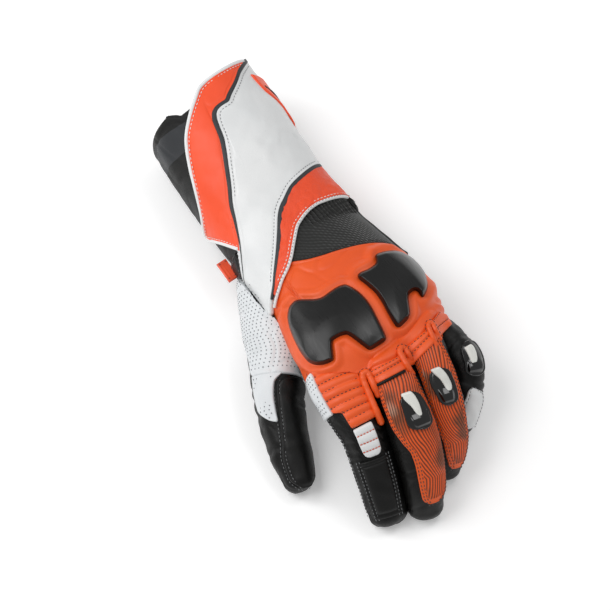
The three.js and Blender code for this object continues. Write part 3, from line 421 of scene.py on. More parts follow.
def depth_in_hand(points):
    """How far the points lie inside the hand's skin, about; negative outside."""
    row, _, back, across = hand.frame(hand_place(points[..., 1]))
    offset = points - row[..., :3]
    wide = (offset * across).sum(-1) / row[..., 3]
    high = (offset * back).sum(-1)
    reach = np.where(high >= 0, row[..., 4], row[..., 5])
    power = np.where(high >= 0, row[..., 6], row[..., 7])
    share = (np.abs(wide) ** power + np.abs(high / reach) ** power) ** (1 / power)
    depth = (1 - share) * np.minimum(row[..., 3], reach)
    return np.where(points[..., 1] < FINGER_SEAM - 3, -10.0, depth)


ROOT_DEPTH = 1.6  # how deep a digit's root sits in the hand's wall


def root_place(tube, angles):
    """The place at each angle where a digit comes out of the hand's skin."""
    places = np.linspace(0, tube.last * 0.8, 240)
    inside = depth_in_hand(tube.skin(places[:, None], angles[None, :], 0.0)) > ROOT_DEPTH
    last_inside = np.where(inside.any(0), len(places) - 1 - np.argmax(inside[::-1], axis=0), 0)
    return places[last_inside]


def on_drawing(points):
    """Points laid flat on the drawing plane: right and up."""
    return np.stack([points @ RIGHT, points @ UP], axis=-1)


def off_drawing(flat, depth):
    """Points at a depth over places on the drawing plane."""
    return flat[:, :1] * RIGHT + flat[:, 1:] * UP + depth[:, None] * BACK


# Meshes

def link(obj):
    bpy.context.scene.collection.objects.link(obj)
    return obj


def mesh_piece(name, points, faces, look, uv=None, values=None):
    """A mesh of points in millimetres, with its doubles merged and its faces turned outwards."""
    mesh = bpy.data.meshes.new(name)
    mesh.from_pydata(((points + LAYOUT_SHIFT) * METRES).tolist(), [], faces)
    for key, field in (values or {}).items():
        mesh.attributes.new(key, "FLOAT", "POINT").data.foreach_set("value", np.asarray(field, float))
    if uv is not None:
        corners = np.empty(len(mesh.loops), int)
        mesh.loops.foreach_get("vertex_index", corners)
        mesh.uv_layers.new(name="UVMap").data.foreach_set("uv", (uv[corners] * METRES).ravel())
    work = bmesh.new()
    work.from_mesh(mesh)
    bmesh.ops.remove_doubles(work, verts=work.verts, dist=2e-6)
    bmesh.ops.recalc_face_normals(work, faces=work.faces)
    work.to_mesh(mesh)
    work.free()
    mesh.polygons.foreach_set("use_smooth", [True] * len(mesh.polygons))
    mesh.materials.append(look)
    return link(bpy.data.objects.new(name, mesh))


def quads(grid):
    """The faces of a grid of point numbers."""
    return np.stack([grid[:-1, :-1], grid[1:, :-1], grid[1:, 1:], grid[:-1, 1:]], axis=-1).reshape(-1, 4)


def numbers(shape, first=0):
    """A grid of point numbers."""
    return np.arange(shape[0] * shape[1]).reshape(shape[:2]) + first


def shell(name, outer, inner, look, *, round_tip=False, uv=None, values=None):
    """A closed wall between two grids of points. round_tip: it closes on itself and ends in a pole."""
    outside = numbers(outer.shape)
    inside = numbers(outer.shape, outside.size)
    faces = [quads(outside), quads(inside)[:, ::-1], quads(np.stack([outside[0], inside[0]], axis=1))]
    if not round_tip:
        faces.append(quads(np.stack([outside[-1], inside[-1]], axis=1))[:, ::-1])
        faces.append(quads(np.stack([outside[:, 0], inside[:, 0]], axis=1))[:, ::-1])
        faces.append(quads(np.stack([outside[:, -1], inside[:, -1]], axis=1)))
    points = np.concatenate([outer.reshape(-1, 3), inner.reshape(-1, 3)])
    flat = None if uv is None else np.tile(uv.reshape(-1, 2), (2, 1))
    doubled = {key: np.tile(np.ravel(field), 2) for key, field in (values or {}).items()}
    return mesh_piece(name, points, np.concatenate(faces).tolist(), look, flat, doubled)


def sweep(name, path, radius, look, sides=12, outward=None):
    """A round cord along a path, with rounded ends."""
    along = unit(np.gradient(path, axis=0))
    outward = np.broadcast_to([0.0, 0.0, 1.0], path.shape) if outward is None else outward
    out = unit(outward - along * (outward * along).sum(-1, keepdims=True))
    side = np.cross(along, out)
    radii = np.broadcast_to(radius, len(path)).astype(float)
    caps = [(math.cos(math.radians(lean)), math.sin(math.radians(lean))) for lean in (90, 65, 40, 20)]
    last = len(path) - 1
    rings = [(0, share, -ahead) for share, ahead in caps] + [(i, 1.0, 0.0) for i in range(last + 1)]
    rings += [(last, share, ahead) for share, ahead in caps[::-1]]
    turns = np.linspace(0, math.tau, sides + 1)
    grid = np.array([path[i] + radii[i] * (along[i] * ahead + share * np.cos(turns)[:, None] * out[i]
                                           + share * np.sin(turns)[:, None] * side[i])
                     for i, share, ahead in rings])
    uv = np.stack(np.meshgrid(turns * np.mean(radii), lengths_along(grid[:, 0])), axis=-1)
    return mesh_piece(name, grid.reshape(-1, 3), quads(numbers(grid.shape)).tolist(), look, uv.reshape(-1, 2))


# Distances from a panel's border at which its rolled edge is drawn.
BORDER = np.array([0, 0.12, 0.32, 0.6, 0.95, 1.35, 1.8, 2.35, 3.0])


def spread(lengths, step, near=1.0, far=1.0):
    """Positions along each length, close together near both ends. near and far stretch the close ones."""
    lengths = np.asarray(lengths, float)[:, None]
    near, far = (np.broadcast_to(stretch, lengths[:, 0].shape)[:, None] for stretch in (near, far))
    room = np.minimum(1, lengths / (1.3 * BORDER[-1] * (near + far)))
    first, last = BORDER * near * room, lengths - (BORDER * far * room)[:, ::-1]
    count = max(2, math.ceil(float(lengths.max()) / step))
    share = np.linspace(0, 1, count + 1)[1:-1]
    between = first[:, -1:] + share * (last[:, :1] - first[:, -1:])
    return np.concatenate([first, between, last], axis=1)


def rolled(border, radius):
    """The share of its height that a folded leather edge has at a distance from its border."""
    return 0.3 + 0.7 * across_circle(border / radius)


def hand_panel(name, start, end, top, bottom, low, high, look, *, step=1.3, edge=1.5, relief=None, hidden=(),
               values=None):
    """A closed panel on the cuff or hand between two angles and two seams."""
    length = (end - start) * MM_PER_DEGREE
    arc = spread([length], step)[0]
    angles = start + arc / MM_PER_DEGREE
    upper, lower = top(angles) + 0 * angles, bottom(angles) + 0 * angles
    steep = [np.clip(np.hypot(1, np.gradient(seam, arc)), 1, 6) for seam in (upper, lower)]
    drop = np.maximum(upper - lower, 0.05)
    down = spread(drop, step, steep[0], steep[1])
    to = SimpleNamespace(
        top=down / steep[0][:, None], bottom=(drop[:, None] - down) / steep[1][:, None],
        left=arc[:, None] + 0 * down, right=length - arc[:, None] + 0 * down,
    )
    shown = [getattr(to, side) for side in ("top", "bottom", "left", "right") if side not in hidden]
    border = np.min(shown, axis=0) if shown else 99 + 0 * down
    y = upper[:, None] - down
    angle = angles[:, None] + 0 * y
    at = SimpleNamespace(y=y, angle=angle, arc=arc[:, None] + 0 * y, border=border, to=to,
                         points=on_hand(y, angle, high))
    grow = low + (high - low) * rolled(border, edge)
    if relief:
        grow = grow + relief(at) * step_up(border, 0, 2.2)
    uv = np.stack([at.arc, y], axis=-1)
    return shell(name, on_hand(y, angle, grow), on_hand(y, angle, low), look, uv=uv,
                 values=values(at) if values else None)


def digit_panel(name, tube, edges, low, high, look, *, relief, step=0.9, corner=2.5, edge=1.0, values=None,
                rooted=False, full_relief=False):
    """A closed panel on a digit, between the edges of its table, with rounded corners."""
    places, left, right = edge_curves(edges)
    start, end = tube.length_at(places[0]), tube.length_at(places[-1])
    along = spread([end - start], step)[0]
    place = tube.place_at(start + along)
    mm = tube.mm_per_degree(place)
    centre, half = (left(place) + right(place)) / 2, (right(place) - left(place)) / 2 * mm
    ends = np.minimum(along, end - start - along)
    half = half - corner * (1 - across_circle(ends / corner))
    across = spread(2 * half, step)
    angle = centre[:, None] + (across - half[:, None]) / mm[:, None]
    place = np.broadcast_to(place[:, None], angle.shape)
    if rooted:
        place = np.maximum(place, root_place(tube, angle.mean(0))[None, :])
    border = np.minimum(np.minimum(across, 2 * half[:, None] - across), ends[:, None])
    at = SimpleNamespace(place=place, angle=angle, border=border, across=across - half[:, None],
                         along=along[:, None] + 0 * across, share=along[:, None] / along[-1] + 0 * across,
                         points=tube.skin(place, angle, high))
    grow = low + (high - low) * rolled(border, edge)
    grow = grow + relief(at) * (1 if full_relief else step_up(border, 0, 1.4))
    uv = np.stack([at.across, at.along], axis=-1)
    return shell(name, tube.skin(place, angle, grow), tube.skin(place, angle, low), look, uv=uv,
                 values=values(at) if values else None)


def beside_path(y, angle, distance, grow):
    """Points on the hand's skin at a distance beside a path over it."""
    mm = math.radians(1) * hand.row(hand_place(y))[:, 3]
    run = unit(np.stack([np.gradient(angle) * mm, np.gradient(y)], axis=-1))
    return on_hand(y + run[:, 0] * distance, angle - run[:, 1] * distance / mm, grow)


def beside(curve, start, end, distance, grow, count=160):
    """Points on the hand's skin beside a seam. A positive distance lies towards the little finger."""
    angle = np.linspace(start, end, count)
    return beside_path(curve(angle), angle, distance if start > end else -distance, grow)


def hand_ribbon(name, curve, start, end, widths, low, high, look, count=260):
    """A narrow strip beside a seam. widths gives its two distances at each share of the way."""
    near, far = widths(np.linspace(0, 1, count))
    lanes = {0: 0.45, 0.06: 0.85, 0.2: 1, 0.5: 1, 0.8: 1, 0.94: 0.85, 1: 0.45}  # across it, and their heights
    outer, inner = [], []
    for lane, height in lanes.items():
        distance = near + lane * (far - near)
        outer.append(beside(curve, start, end, distance, low + (high - low) * height, count))
        inner.append(beside(curve, start, end, distance, low, count))
    return shell(name, np.array(outer), np.array(inner), look)


# Materials

def srgb(code):
    """Linear colour of a #rrggbb code."""
    parts = [int(code[i:i + 2], 16) / 255 for i in (1, 3, 5)]
    return (*(p / 12.92 if p <= 0.04045 else ((p + 0.055) / 1.055) ** 2.4 for p in parts), 1.0)


def add_node(tree, kind, inputs=None, **settings):
    """A node of a tree, with its settings and with inputs that are values or sockets to join."""
    made = tree.nodes.new(kind)
    for key, value in settings.items():
        setattr(made, key, value)
    for key, value in (inputs or {}).items():
        if isinstance(value, bpy.types.NodeSocket):
            tree.links.new(value, made.inputs[key])
        else:
            made.inputs[key].default_value = value
    return made


class Look:
    """A material under construction: its shader, and short ways to add nodes to it."""

    def __init__(self, name, colour, roughness, **sockets):
        self.material = bpy.data.materials.new(name)
        self.material.use_nodes = True
        self.tree = self.material.node_tree
        self.shader = self.tree.nodes["Principled BSDF"]
        self.base = srgb(colour)
        self.shader.inputs["Base Color"].default_value = self.base
        self.shader.inputs["Roughness"].default_value = roughness
        for key, value in sockets.items():
            self.shader.inputs[key.replace("_", " ")].default_value = value
        self.colour = None
        self.bump = None
        self.place = self.node("ShaderNodeTexCoord").outputs["Object"]

    def node(self, kind, inputs=None, **settings):
        return add_node(self.tree, kind, inputs, **settings)

    def ramp(self, value, low, high):
        return self.node("ShaderNodeMapRange", {"Value": value, "From Min": low, "From Max": high},
                         clamp=True).outputs[0]

    def noise(self, per_metre, detail, place=None):
        return self.node("ShaderNodeTexNoise", {"Vector": place or self.place, "Scale": per_metre,
                                                "Detail": detail}).outputs["Fac"]

    def cells(self, per_metre):
        return self.node("ShaderNodeTexVoronoi", {"Vector": self.place, "Scale": per_metre},
                         feature="DISTANCE_TO_EDGE").outputs["Distance"]

    def attribute(self, key, low, high):
        return self.ramp(self.node("ShaderNodeAttribute", attribute_name=key).outputs["Fac"], low, high)

    def tint(self, share, colour, most=None):
        """Mixes a colour over what the surface has so far. most: its share where share is 1."""
        if most is not None:
            share = self.node("ShaderNodeMath", {0: share, 1: most}, operation="MULTIPLY").outputs[0]
        mix = self.node("ShaderNodeMix", {"Factor": share}, data_type="RGBA")
        if self.colour is None:
            mix.inputs[6].default_value = self.base
        else:
            self.tree.links.new(self.colour, mix.inputs[6])
        mix.inputs[7].default_value = srgb(colour)
        self.colour = mix.outputs[2]

    def raise_by(self, height, strength, distance):
        """Adds a bump. distance is its real height in metres."""
        inputs = {"Height": height, "Strength": strength, "Distance": distance}
        if self.bump is not None:
            inputs["Normal"] = self.bump
        self.bump = self.node("ShaderNodeBump", inputs).outputs["Normal"]

    def vary_roughness(self, value, low, high):
        made = self.node("ShaderNodeMapRange", {"Value": value, "From Min": 0.3, "From Max": 0.7,
                                                "To Min": low, "To Max": high}, clamp=True)
        self.tree.links.new(made.outputs[0], self.shader.inputs["Roughness"])

    def done(self):
        if self.colour is not None:
            self.tree.links.new(self.colour, self.shader.inputs["Base Color"])
        if self.bump is not None:
            self.tree.links.new(self.bump, self.shader.inputs["Normal"])
        return self.material


def leather(name, colour, roughness, shade, *, grain, pores_per_metre=1100, mottle=0.25, finish=None,
            **sockets):
    """Grained leather: pores and fine creases in its bump, and soft patches of a deeper shade."""
    look = Look(name, colour, roughness, **sockets)
    look.tint(look.ramp(look.noise(34.0, 3.0), 0.42, 0.72), shade, mottle)
    pores = look.cells(pores_per_metre)
    look.tint(look.ramp(pores, 0.07, 0.0), shade, mottle)
    look.raise_by(look.noise(180.0, 4.0), 0.25, 0.0004)
    look.raise_by(look.ramp(pores, 0.0, 0.22), grain, 0.00012)
    look.vary_roughness(look.noise(90.0, 2.0), roughness - 0.05, roughness + 0.08)
    if finish:
        finish(look)
    return look.done()


def charcoal_band(look):
    """The lighter band that crosses the lower cuff."""
    look.tint(look.attribute("band", 0.45, 0.55), "#303235")


def grooved_zones(look):
    """Fine grooves darkened with painted shade, with brown and dark patches between them."""
    look.tint(look.attribute("olive", 0.25, 0.8), "#5a3a1c", 0.75)
    look.tint(look.attribute("pale", 0.3, 0.9), "#d8b49c", 0.45)
    # painted shade: dark brown colour laid into the groove valleys
    look.tint(look.attribute("groove", 0.35, 0.85), "#3a1a0c", 0.85)


def knit(name, colour):
    """A fine black knit: slanting rows of loops, with painted shade in the valleys between its ruches."""
    look = Look(name, colour, 0.85, Sheen_Weight=0.25, Sheen_Roughness=0.5)
    place = look.node("ShaderNodeUVMap", uv_map="UVMap").outputs["UV"]
    wales, courses = (look.node("ShaderNodeTexWave", {"Vector": place, "Scale": scale, "Distortion": bend,
                                                      "Detail": 1.0}, bands_direction=way).outputs["Fac"]
                      for scale, bend, way in ((160.0, 0.6, "X"), (190.0, 1.5, "DIAGONAL")))
    look.tint(courses, "#2c2d2b", 0.15)
    # painted shade: near-black colour laid into the ruche valleys, from the valley attribute
    look.tint(look.attribute("valley", 0.25, 0.8), "#060606")
    look.raise_by(wales, 0.5, 0.0004)
    look.raise_by(courses, 0.6, 0.0004)
    return look.done()


def hard_plastic(name, colour, roughness, **sockets):
    """Moulded plastic with a faint mould texture and hairline scuffs."""
    look = Look(name, colour, roughness, **sockets)
    stretched = look.node("ShaderNodeMapping", {"Vector": look.place, "Scale": (900, 60, 300)}).outputs[0]
    look.raise_by(look.noise(1500.0, 2.0), 0.06, 0.0001)
    look.vary_roughness(look.noise(1.0, 2.0, stretched), roughness - 0.03, roughness + 0.07)
    look.tint(look.ramp(look.noise(70.0, 2.0), 0.45, 0.75), "#1c1d1e", 0.2)
    return look.done()


def thread(name, colour):
    """Twisted sewing thread."""
    look = Look(name, colour, 0.6, Sheen_Weight=0.2)
    look.raise_by(look.noise(2600.0, 2.0), 0.4, 0.0001)
    look.tint(look.noise(900.0, 1.0), "#5b5b58", 0.3)
    return look.done()


LOOKS = SimpleNamespace(
    white=leather("white leather", "#e4e5e5", 0.42, "#d0d3d4", grain=0.12, mottle=0.4, Coat_Weight=0.08),
    cuff_orange=leather("cuff orange leather", "#f65226", 0.46, "#ee4a1c", grain=0.15, mottle=0.35),
    wrist_orange=leather("creased orange leather", "#ef4f24", 0.48, "#d83c12", grain=0.6, pores_per_metre=620,
                         mottle=0.5),
    hand_orange=leather("hand orange leather", "#ec5a1b", 0.44, "#dc4a10", grain=0.2, mottle=0.45),
    charcoal=leather("charcoal trim", "#2f3336", 0.55, "#23262a", grain=0.3),
    black=leather("black leather", "#0b0b0a", 0.42, "#060606", grain=0.45, pores_per_metre=900, mottle=0.3,
                  Specular_IOR_Level=0.25, Coat_Weight=0.04, Coat_Roughness=0.3),
    cuff_black=leather("banded black leather", "#0e0e0d", 0.55, "#090909", grain=0.45, finish=charcoal_band,
                       Specular_IOR_Level=0.3),
    perforated=leather("perforated white leather", "#dfe2e4", 0.5, "#c9cdd0", grain=0.25, mottle=0.4),
    grooved=leather("grooved orange leather", "#e65a16", 0.5, "#cf480c", grain=0.15, finish=grooved_zones),
    knit=knit("black knit", "#141513"),
    guard=hard_plastic("satin guard plastic", "#090909", 0.3, Specular_IOR_Level=0.4, Coat_Weight=0.1,
                       Coat_Roughness=0.2),
    slider=hard_plastic("gloss slider plastic", "#090909", 0.12, Coat_Weight=0.3, Coat_Roughness=0.05),
    insert=hard_plastic("pale slider insert", "#e6e6e0", 0.25, Coat_Weight=0.3),
    tab=hard_plastic("gloss orange tab", "#ea4a16", 0.28, Coat_Weight=0.4),
    piping=leather("white piping", "#eceded", 0.5, "#cfd2d4", grain=0.4, pores_per_metre=1800),
    # the hole discs' grey is painted shade standing in for the inside of each punched hole
    hole=Look("punched hole", "#5c6064", 0.9).done(),
)


# Pieces that ride on the glove

def wear(piece, slot, *nodes):
    """Every piece rides on the one body. nodes are the solids that it stands for."""
    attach(piece, "root")
    if nodes:
        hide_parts(*nodes)


# Stitches and punched holes

def geometry_tree(name, inputs, nodes, wires):
    """A node tree. nodes: the kind, input values and settings of each. wires: the sockets to join."""
    tree = bpy.data.node_groups.new(name, "GeometryNodeTree")
    tree.interface.new_socket("Geometry", in_out="INPUT", socket_type="NodeSocketGeometry")
    tree.interface.new_socket("Geometry", in_out="OUTPUT", socket_type="NodeSocketGeometry")
    for socket, kind in inputs.items():
        tree.interface.new_socket(socket, in_out="INPUT", socket_type=f"NodeSocket{kind}")
    made = {"given": add_node(tree, "NodeGroupInput"), "result": add_node(tree, "NodeGroupOutput")}
    for key, (kind, values, settings) in nodes.items():
        made[key] = add_node(tree, kind, values, **settings)
    for wire in wires:
        (source, out), (target, into) = (end.split(".") for end in wire.split(" > "))
        tree.links.new(made[source].outputs[out], made[target].inputs[into])
    return tree


# Small rounded stitches at even steps along curves
STITCHES = geometry_tree(
    "stitches along a curve",
    {"Pitch": "Float", "Length": "Float", "Thickness": "Float", "Thread": "Material"},
    {
        "points": ("GeometryNodeCurveToPoints", {}, {"mode": "LENGTH"}),
        "align": ("FunctionNodeAlignRotationToVector", {}, {"axis": "X"}),
        "stitch": ("GeometryNodeMeshUVSphere", {"Segments": 6, "Rings": 4, "Radius": 0.5}, {}),
        "size": ("ShaderNodeCombineXYZ", {}, {}),
        "copies": ("GeometryNodeInstanceOnPoints", {}, {}),
        "real": ("GeometryNodeRealizeInstances", {}, {}),
        "smooth": ("GeometryNodeSetShadeSmooth", {}, {}),
        "coloured": ("GeometryNodeSetMaterial", {}, {}),
    },
    [
        "given.Geometry > points.Curve", "given.Pitch > points.Length", "points.Tangent > align.Vector",
        "given.Length > size.X", "given.Thickness > size.Y", "given.Thickness > size.Z",
        "points.Points > copies.Points", "stitch.Mesh > copies.Instance", "align.Rotation > copies.Rotation",
        "size.Vector > copies.Scale", "copies.Instances > real.Geometry", "real.Geometry > smooth.Geometry",
        "smooth.Geometry > coloured.Geometry", "given.Thread > coloured.Material",
        "coloured.Geometry > result.Geometry",
    ])

# A shallow dark disc at each point, square to the point's own direction: its grey is painted shade standing
# in for a punched hole
HOLES = geometry_tree(
    "punched holes",
    {"Radius": "Float", "Depth": "Float", "Finish": "Material"},
    {
        "facing": ("GeometryNodeInputNamedAttribute", {"Name": "facing"}, {"data_type": "FLOAT_VECTOR"}),
        "align": ("FunctionNodeAlignRotationToVector", {}, {"axis": "Z"}),
        "disc": ("GeometryNodeMeshCylinder", {"Vertices": 8}, {}),
        "copies": ("GeometryNodeInstanceOnPoints", {}, {}),
        "real": ("GeometryNodeRealizeInstances", {}, {}),
        "coloured": ("GeometryNodeSetMaterial", {}, {}),
    },
    [
        "facing.Attribute > align.Vector", "given.Radius > disc.Radius", "given.Depth > disc.Depth",
        "given.Geometry > copies.Points", "disc.Mesh > copies.Instance", "align.Rotation > copies.Rotation",
        "copies.Instances > real.Geometry", "real.Geometry > coloured.Geometry",
        "given.Finish > coloured.Material", "coloured.Geometry > result.Geometry",
    ])


def grown_mesh(name, source, tree, inputs):
    """The plain mesh that a node tree makes of an object, which is then removed."""
    modifier = source.modifiers.new("grow", "NODES")
    modifier.node_group = tree
    sockets = {item.name: item.identifier for item in tree.interface.items_tree if item.in_out == "INPUT"}
    for key, value in inputs.items():
        modifier[sockets[key]] = value
    evaluated = source.evaluated_get(bpy.context.evaluated_depsgraph_get())
    mesh = bpy.data.meshes.new_from_object(evaluated)
    mesh.name = name
    source.modifiers.remove(modifier)
    bpy.data.objects.remove(source)
    return link(bpy.data.objects.new(name, mesh))


# Sizes in millimetres
THREADS = {
    "white": SimpleNamespace(colour="#f4f4f2", pitch=2.9, length=2.1, thickness=0.62, slot="white_piping"),
    "dark": SimpleNamespace(colour="#201d1c", pitch=2.7, length=1.9, thickness=0.6, slot="charcoal_trim"),
    "grey": SimpleNamespace(colour="#77797b", pitch=2.6, length=1.8, thickness=0.5, slot="charcoal_trim"),
    "orange": SimpleNamespace(colour="#d5532c", pitch=2.1, length=2.0, thickness=0.9, slot="orange_leather"),
}
ROWS = {name: [] for name in THREADS}
HOLE_RADIUS = 0.42
HOLE_DEPTH = 0.25


def sew(name, *paths):
    """Keeps rows of stitches for a thread, which is made at the end."""
    ROWS[name].extend(paths)


def make_threads():
    for name, look in THREADS.items():
        curve = bpy.data.curves.new(f"{name}_rows", "CURVE")
        curve.dimensions = "3D"
        for path in ROWS[name]:
            spline = curve.splines.new("POLY")
            spline.points.add(len(path) - 1)
            places = np.concatenate([(path + LAYOUT_SHIFT) * METRES, np.ones((len(path), 1))], axis=1)
            spline.points.foreach_set("co", places.ravel())
        source = link(bpy.data.objects.new(f"{name}_rows", curve))
        piece = grown_mesh(f"{name}_stitches", source, STITCHES, {
            "Pitch": look.pitch * METRES, "Length": look.length * METRES,
            "Thickness": look.thickness * METRES, "Thread": thread(f"{name} thread", look.colour),
        })
        wear(piece, look.slot)


def punch(name, places, facing):
    """Holes at places on perforated leather, drawn as grey discs of painted shade."""
    mesh = bpy.data.meshes.new(f"{name}_points")
    mesh.from_pydata(((places + LAYOUT_SHIFT) * METRES).tolist(), [], [])
    mesh.attributes.new("facing", "FLOAT_VECTOR", "POINT").data.foreach_set("vector", facing.ravel())
    source = link(bpy.data.objects.new(f"{name}_points", mesh))
    piece = grown_mesh(name, source, HOLES, {
        "Radius": HOLE_RADIUS * METRES, "Depth": HOLE_DEPTH * METRES, "Finish": LOOKS.hole,
    })
    wear(piece, "perforated_leather")


def along_digit(tube, start, end, start_angle, end_angle, grow, count):
    """A row on a digit's skin from one place and angle to another."""
    return tube.skin(np.linspace(start, end, count), np.linspace(start_angle, end_angle, count), grow)


def edge_rows(tube, edges, inset, grow, sides=("left", "right")):
    """Rows of stitches inside the long edges of a digit's panel."""
    places, left, right = edge_curves(edges)
    place = np.linspace(places[0], places[-1], 120)
    inwards = inset / tube.mm_per_degree(place)
    rows = {"left": left(place) + inwards, "right": right(place) - inwards}
    return [tube.skin(place, rows[side], grow) for side in sides]


# The cuff

def build_lower_cuff():
    def relief(at):
        soft = 0.8 * swell(at.points, 30, 11) - 0.6 * creases(at.points, 26, 12, 0.2)
        pull = step_up(at.angle, 250, 300)  # the side that shows beside the flap
        return soft * (0.5 + 0.5 * pull) - 0.8 * bell(at.to.top, 6, 1.2)

    def zones(at):
        line = 121 + 0.143 * (320 - at.angle)
        return {"band": 0.5 + (9 - np.abs(at.y - line)) / 2.0}

    piece = hand_panel("lower_cuff_wall", HIDDEN_EDGE, 360 + UNDER_FLAP, level(CUFF_HEM),
                       level(WRIST_SEAM + 0.35), -WALL, 0, LOOKS.cuff_black, relief=relief, values=zones,
                       step=1.6)
    wear(piece, "black_leather", "lower_cuff")
    wing = hand_panel("lower_cuff_under_flap", 315, 346, seam_curve(HEM_UNDER_FLAP), level(60), -WALL, 0,
                      LOOKS.cuff_black, relief=relief, values=zones, step=1.6, hidden=("left",))
    wear(wing, "black_leather", "lower_cuff")
    hem = np.linspace(HIDDEN_EDGE + 6, 300, 200)
    sew("grey", on_hand(CUFF_HEM - 2.6 + 0 * hem, hem, -0.1), on_hand(CUFF_HEM - 6 + 0 * hem, hem, -0.7))


def build_centre_panel():
    thumb_line, outer_line, rim = seam_curve(THUMB_SEAM), seam_curve(OUTER_SEAM), seam_curve(RIM)

    def relief(at):
        fine = 0.28 * swell(at.points, 24, 21) + 0.12 * swell(at.points, 9, 22)
        lines = 0.4 * creases(at.points, 30, 23, 0.1) * bell(at.y, 85, 26) * step_up(at.angle, 5, 50)
        return fine - lines - 0.35 * bell(at.border, 3.2, 0.7)

    piece = hand_panel("centre_panel_leather", -86, OVER_EDGE,
                       lambda a: np.minimum(rim(a), thumb_line(a) + STRIPE / 2),
                       lambda a: outer_line(a) - STRIPE / 2, SUNK, OVER, LOOKS.white,
                       relief=relief, step=1.45)
    wear(piece, "white_leather", "centre_panel")
    strip = hand_ribbon("centre_panel_edge", thumb_line, -36, -86,
                        lambda t: (-STRIPE - 3.2 * step_up(t, 0, 0.12) * (1 - 0.6 * t), 0 * t - 0.6),
                        0.2, OVER - 0.3, LOOKS.white)
    wear(strip, "white_leather", "centre_panel")
    sew("dark", beside(thumb_line, -40, -86, -4.2, OVER - 0.25))
    sew("grey", beside(thumb_line, 60, -30, 2.0, OVER - 0.1), beside(outer_line, 100, -50, -2.0, OVER - 0.1))


def build_stripes():
    narrow = lambda t: 1 - 0.72 * step_up(t, 0.66, 0.8)
    thumb_side = hand_ribbon("thumb_side_stripe_band", seam_curve(THUMB_SEAM), 74, -88,
                             lambda t: (-STRIPE * narrow(t), 0 * t), OVER - 1.2, OVER + 0.25,
                             LOOKS.charcoal, 420)
    wear(thumb_side, "charcoal_trim", "thumb_side_stripe")
    outer = hand_ribbon("outer_stripe_band", seam_curve(OUTER_SEAM), 107, -66,
                        lambda t: (0 * t, STRIPE * (1 - 0.35 * step_up(t, 0.7, 1))), OVER - 1.2, OVER + 0.25,
                        LOOKS.charcoal, 360)
    wear(outer, "charcoal_trim", "outer_stripe")


def flap_outline():
    """The flap's free edge, from the rim round its side corner to the wrist."""
    rows = np.array(FLAP_TOP + FLAP_BOTTOM, float)
    for _ in range(3):  # rounds the corners
        cut = np.stack([0.75 * rows[:-1] + 0.25 * rows[1:], 0.25 * rows[:-1] + 0.75 * rows[1:]], axis=1)
        rows = np.concatenate([rows[:1], cut.reshape(-1, 2), rows[-1:]])
    return rows.T


def build_flap():
    thumb_line, flap_top, flap_bottom = seam_curve(THUMB_SEAM), seam_curve(FLAP_TOP), seam_curve(FLAP_BOTTOM)

    def bottom(angle):
        blend = step_up(angle, -63, -57)
        return (1 - blend) * flap_bottom(angle) + blend * (thumb_line(angle) + STRIPE / 2)

    def relief(at):
        soft = 0.3 * swell(at.points, 26, 31) + 0.1 * swell(at.points, 8, 32)
        lines = 0.3 * creases(at.points, 16, 33, 0.1) * bell(at.y, 56, 12)
        return soft - lines - 0.4 * bell(at.border, 2.9, 0.7)

    piece = hand_panel("thumb_side_flap_leather", -98, 54, flap_top, bottom, SUNK, OVER, LOOKS.cuff_orange,
                       relief=relief, step=1.3)
    wear(piece, "orange_leather", "thumb_side_flap")
    y, angle = flap_outline()
    path = beside_path(y, angle, 0.4, OVER - 0.45)
    outward = unit(on_hand(y, angle, 6.0) - on_hand(y, angle, 0.0))
    piping = sweep("flap_edge_piping", path, PIPING + 0.2, LOOKS.piping, outward=outward)
    wear(piping, "white_piping", "flap_piping")
    sew("white", beside_path(y[2:-2], angle[2:-2], 2.8, OVER - 0.15))


def build_outer_patch():
    outer_line, piped = seam_curve(OUTER_SEAM), seam_curve(PIPED_EDGE)

    def relief(at):
        fine = 0.3 * swell(at.points, 20, 41) + 0.16 * swell(at.points, 5, 42)
        return fine - 0.3 * creases(at.points, 11, 43, 0.12) - 0.35 * bell(at.to.bottom, 2.6, 0.6)

    piece = hand_panel("outer_cuff_patch_leather", -60, OVER_EDGE, lambda a: outer_line(a) - STRIPE / 2,
                       piped, SUNK, OVER, LOOKS.wrist_orange, relief=relief, step=1.1)
    wear(piece, "orange_leather", "outer_cuff_patch")
    path = beside(piped, 68, -70, 0.6, OVER - PIPING - 0.1, 240)
    outward = unit(beside(piped, 68, -70, 0.6, 8.0, 240) - path)
    piping = sweep("patch_edge_piping", path, PIPING, LOOKS.piping, outward=outward)
    wear(piping, "white_piping", "patch_piping")
    sew("white", beside(piped, 104, -44, -1.7, OVER - 0.1))
    sew("grey", beside(piped, 66, -66, 0.8, OVER + 0.85))


def build_rim_wedge():
    top, bottom = seam_curve(WEDGE_TOP), seam_curve(WEDGE_BOTTOM)
    piece = hand_panel("rim_wedge_leather", 50, 84, top, bottom, OVER - 0.3, OVER + 1.3,
                       LOOKS.cuff_orange, step=0.9, relief=lambda at: 0.15 * swell(at.points, 12, 51))
    wear(piece, "orange_leather", "rim_wedge")
    accent = hand_panel("rim_wedge_accent", 57, 80, lambda a: 127.5 - 0.3 * (a - 57),
                        lambda a: 125 - 0.3 * (a - 57), OVER + 0.4, OVER + 1.8, LOOKS.black, step=0.9,
                        edge=0.7)
    wear(accent, "orange_leather", "rim_wedge")
    thin = hand_ribbon("rim_wedge_tail", smooth_curve([84, 92], [101, 86]), 84, 92,
                       lambda t: (-0.9 * (1 - t), 0.9 * (1 - t) + 0.05), OVER - 0.4, OVER + 0.5,
                       LOOKS.cuff_orange, 60)
    wear(thin, "orange_leather", "rim_wedge")


# The wrist

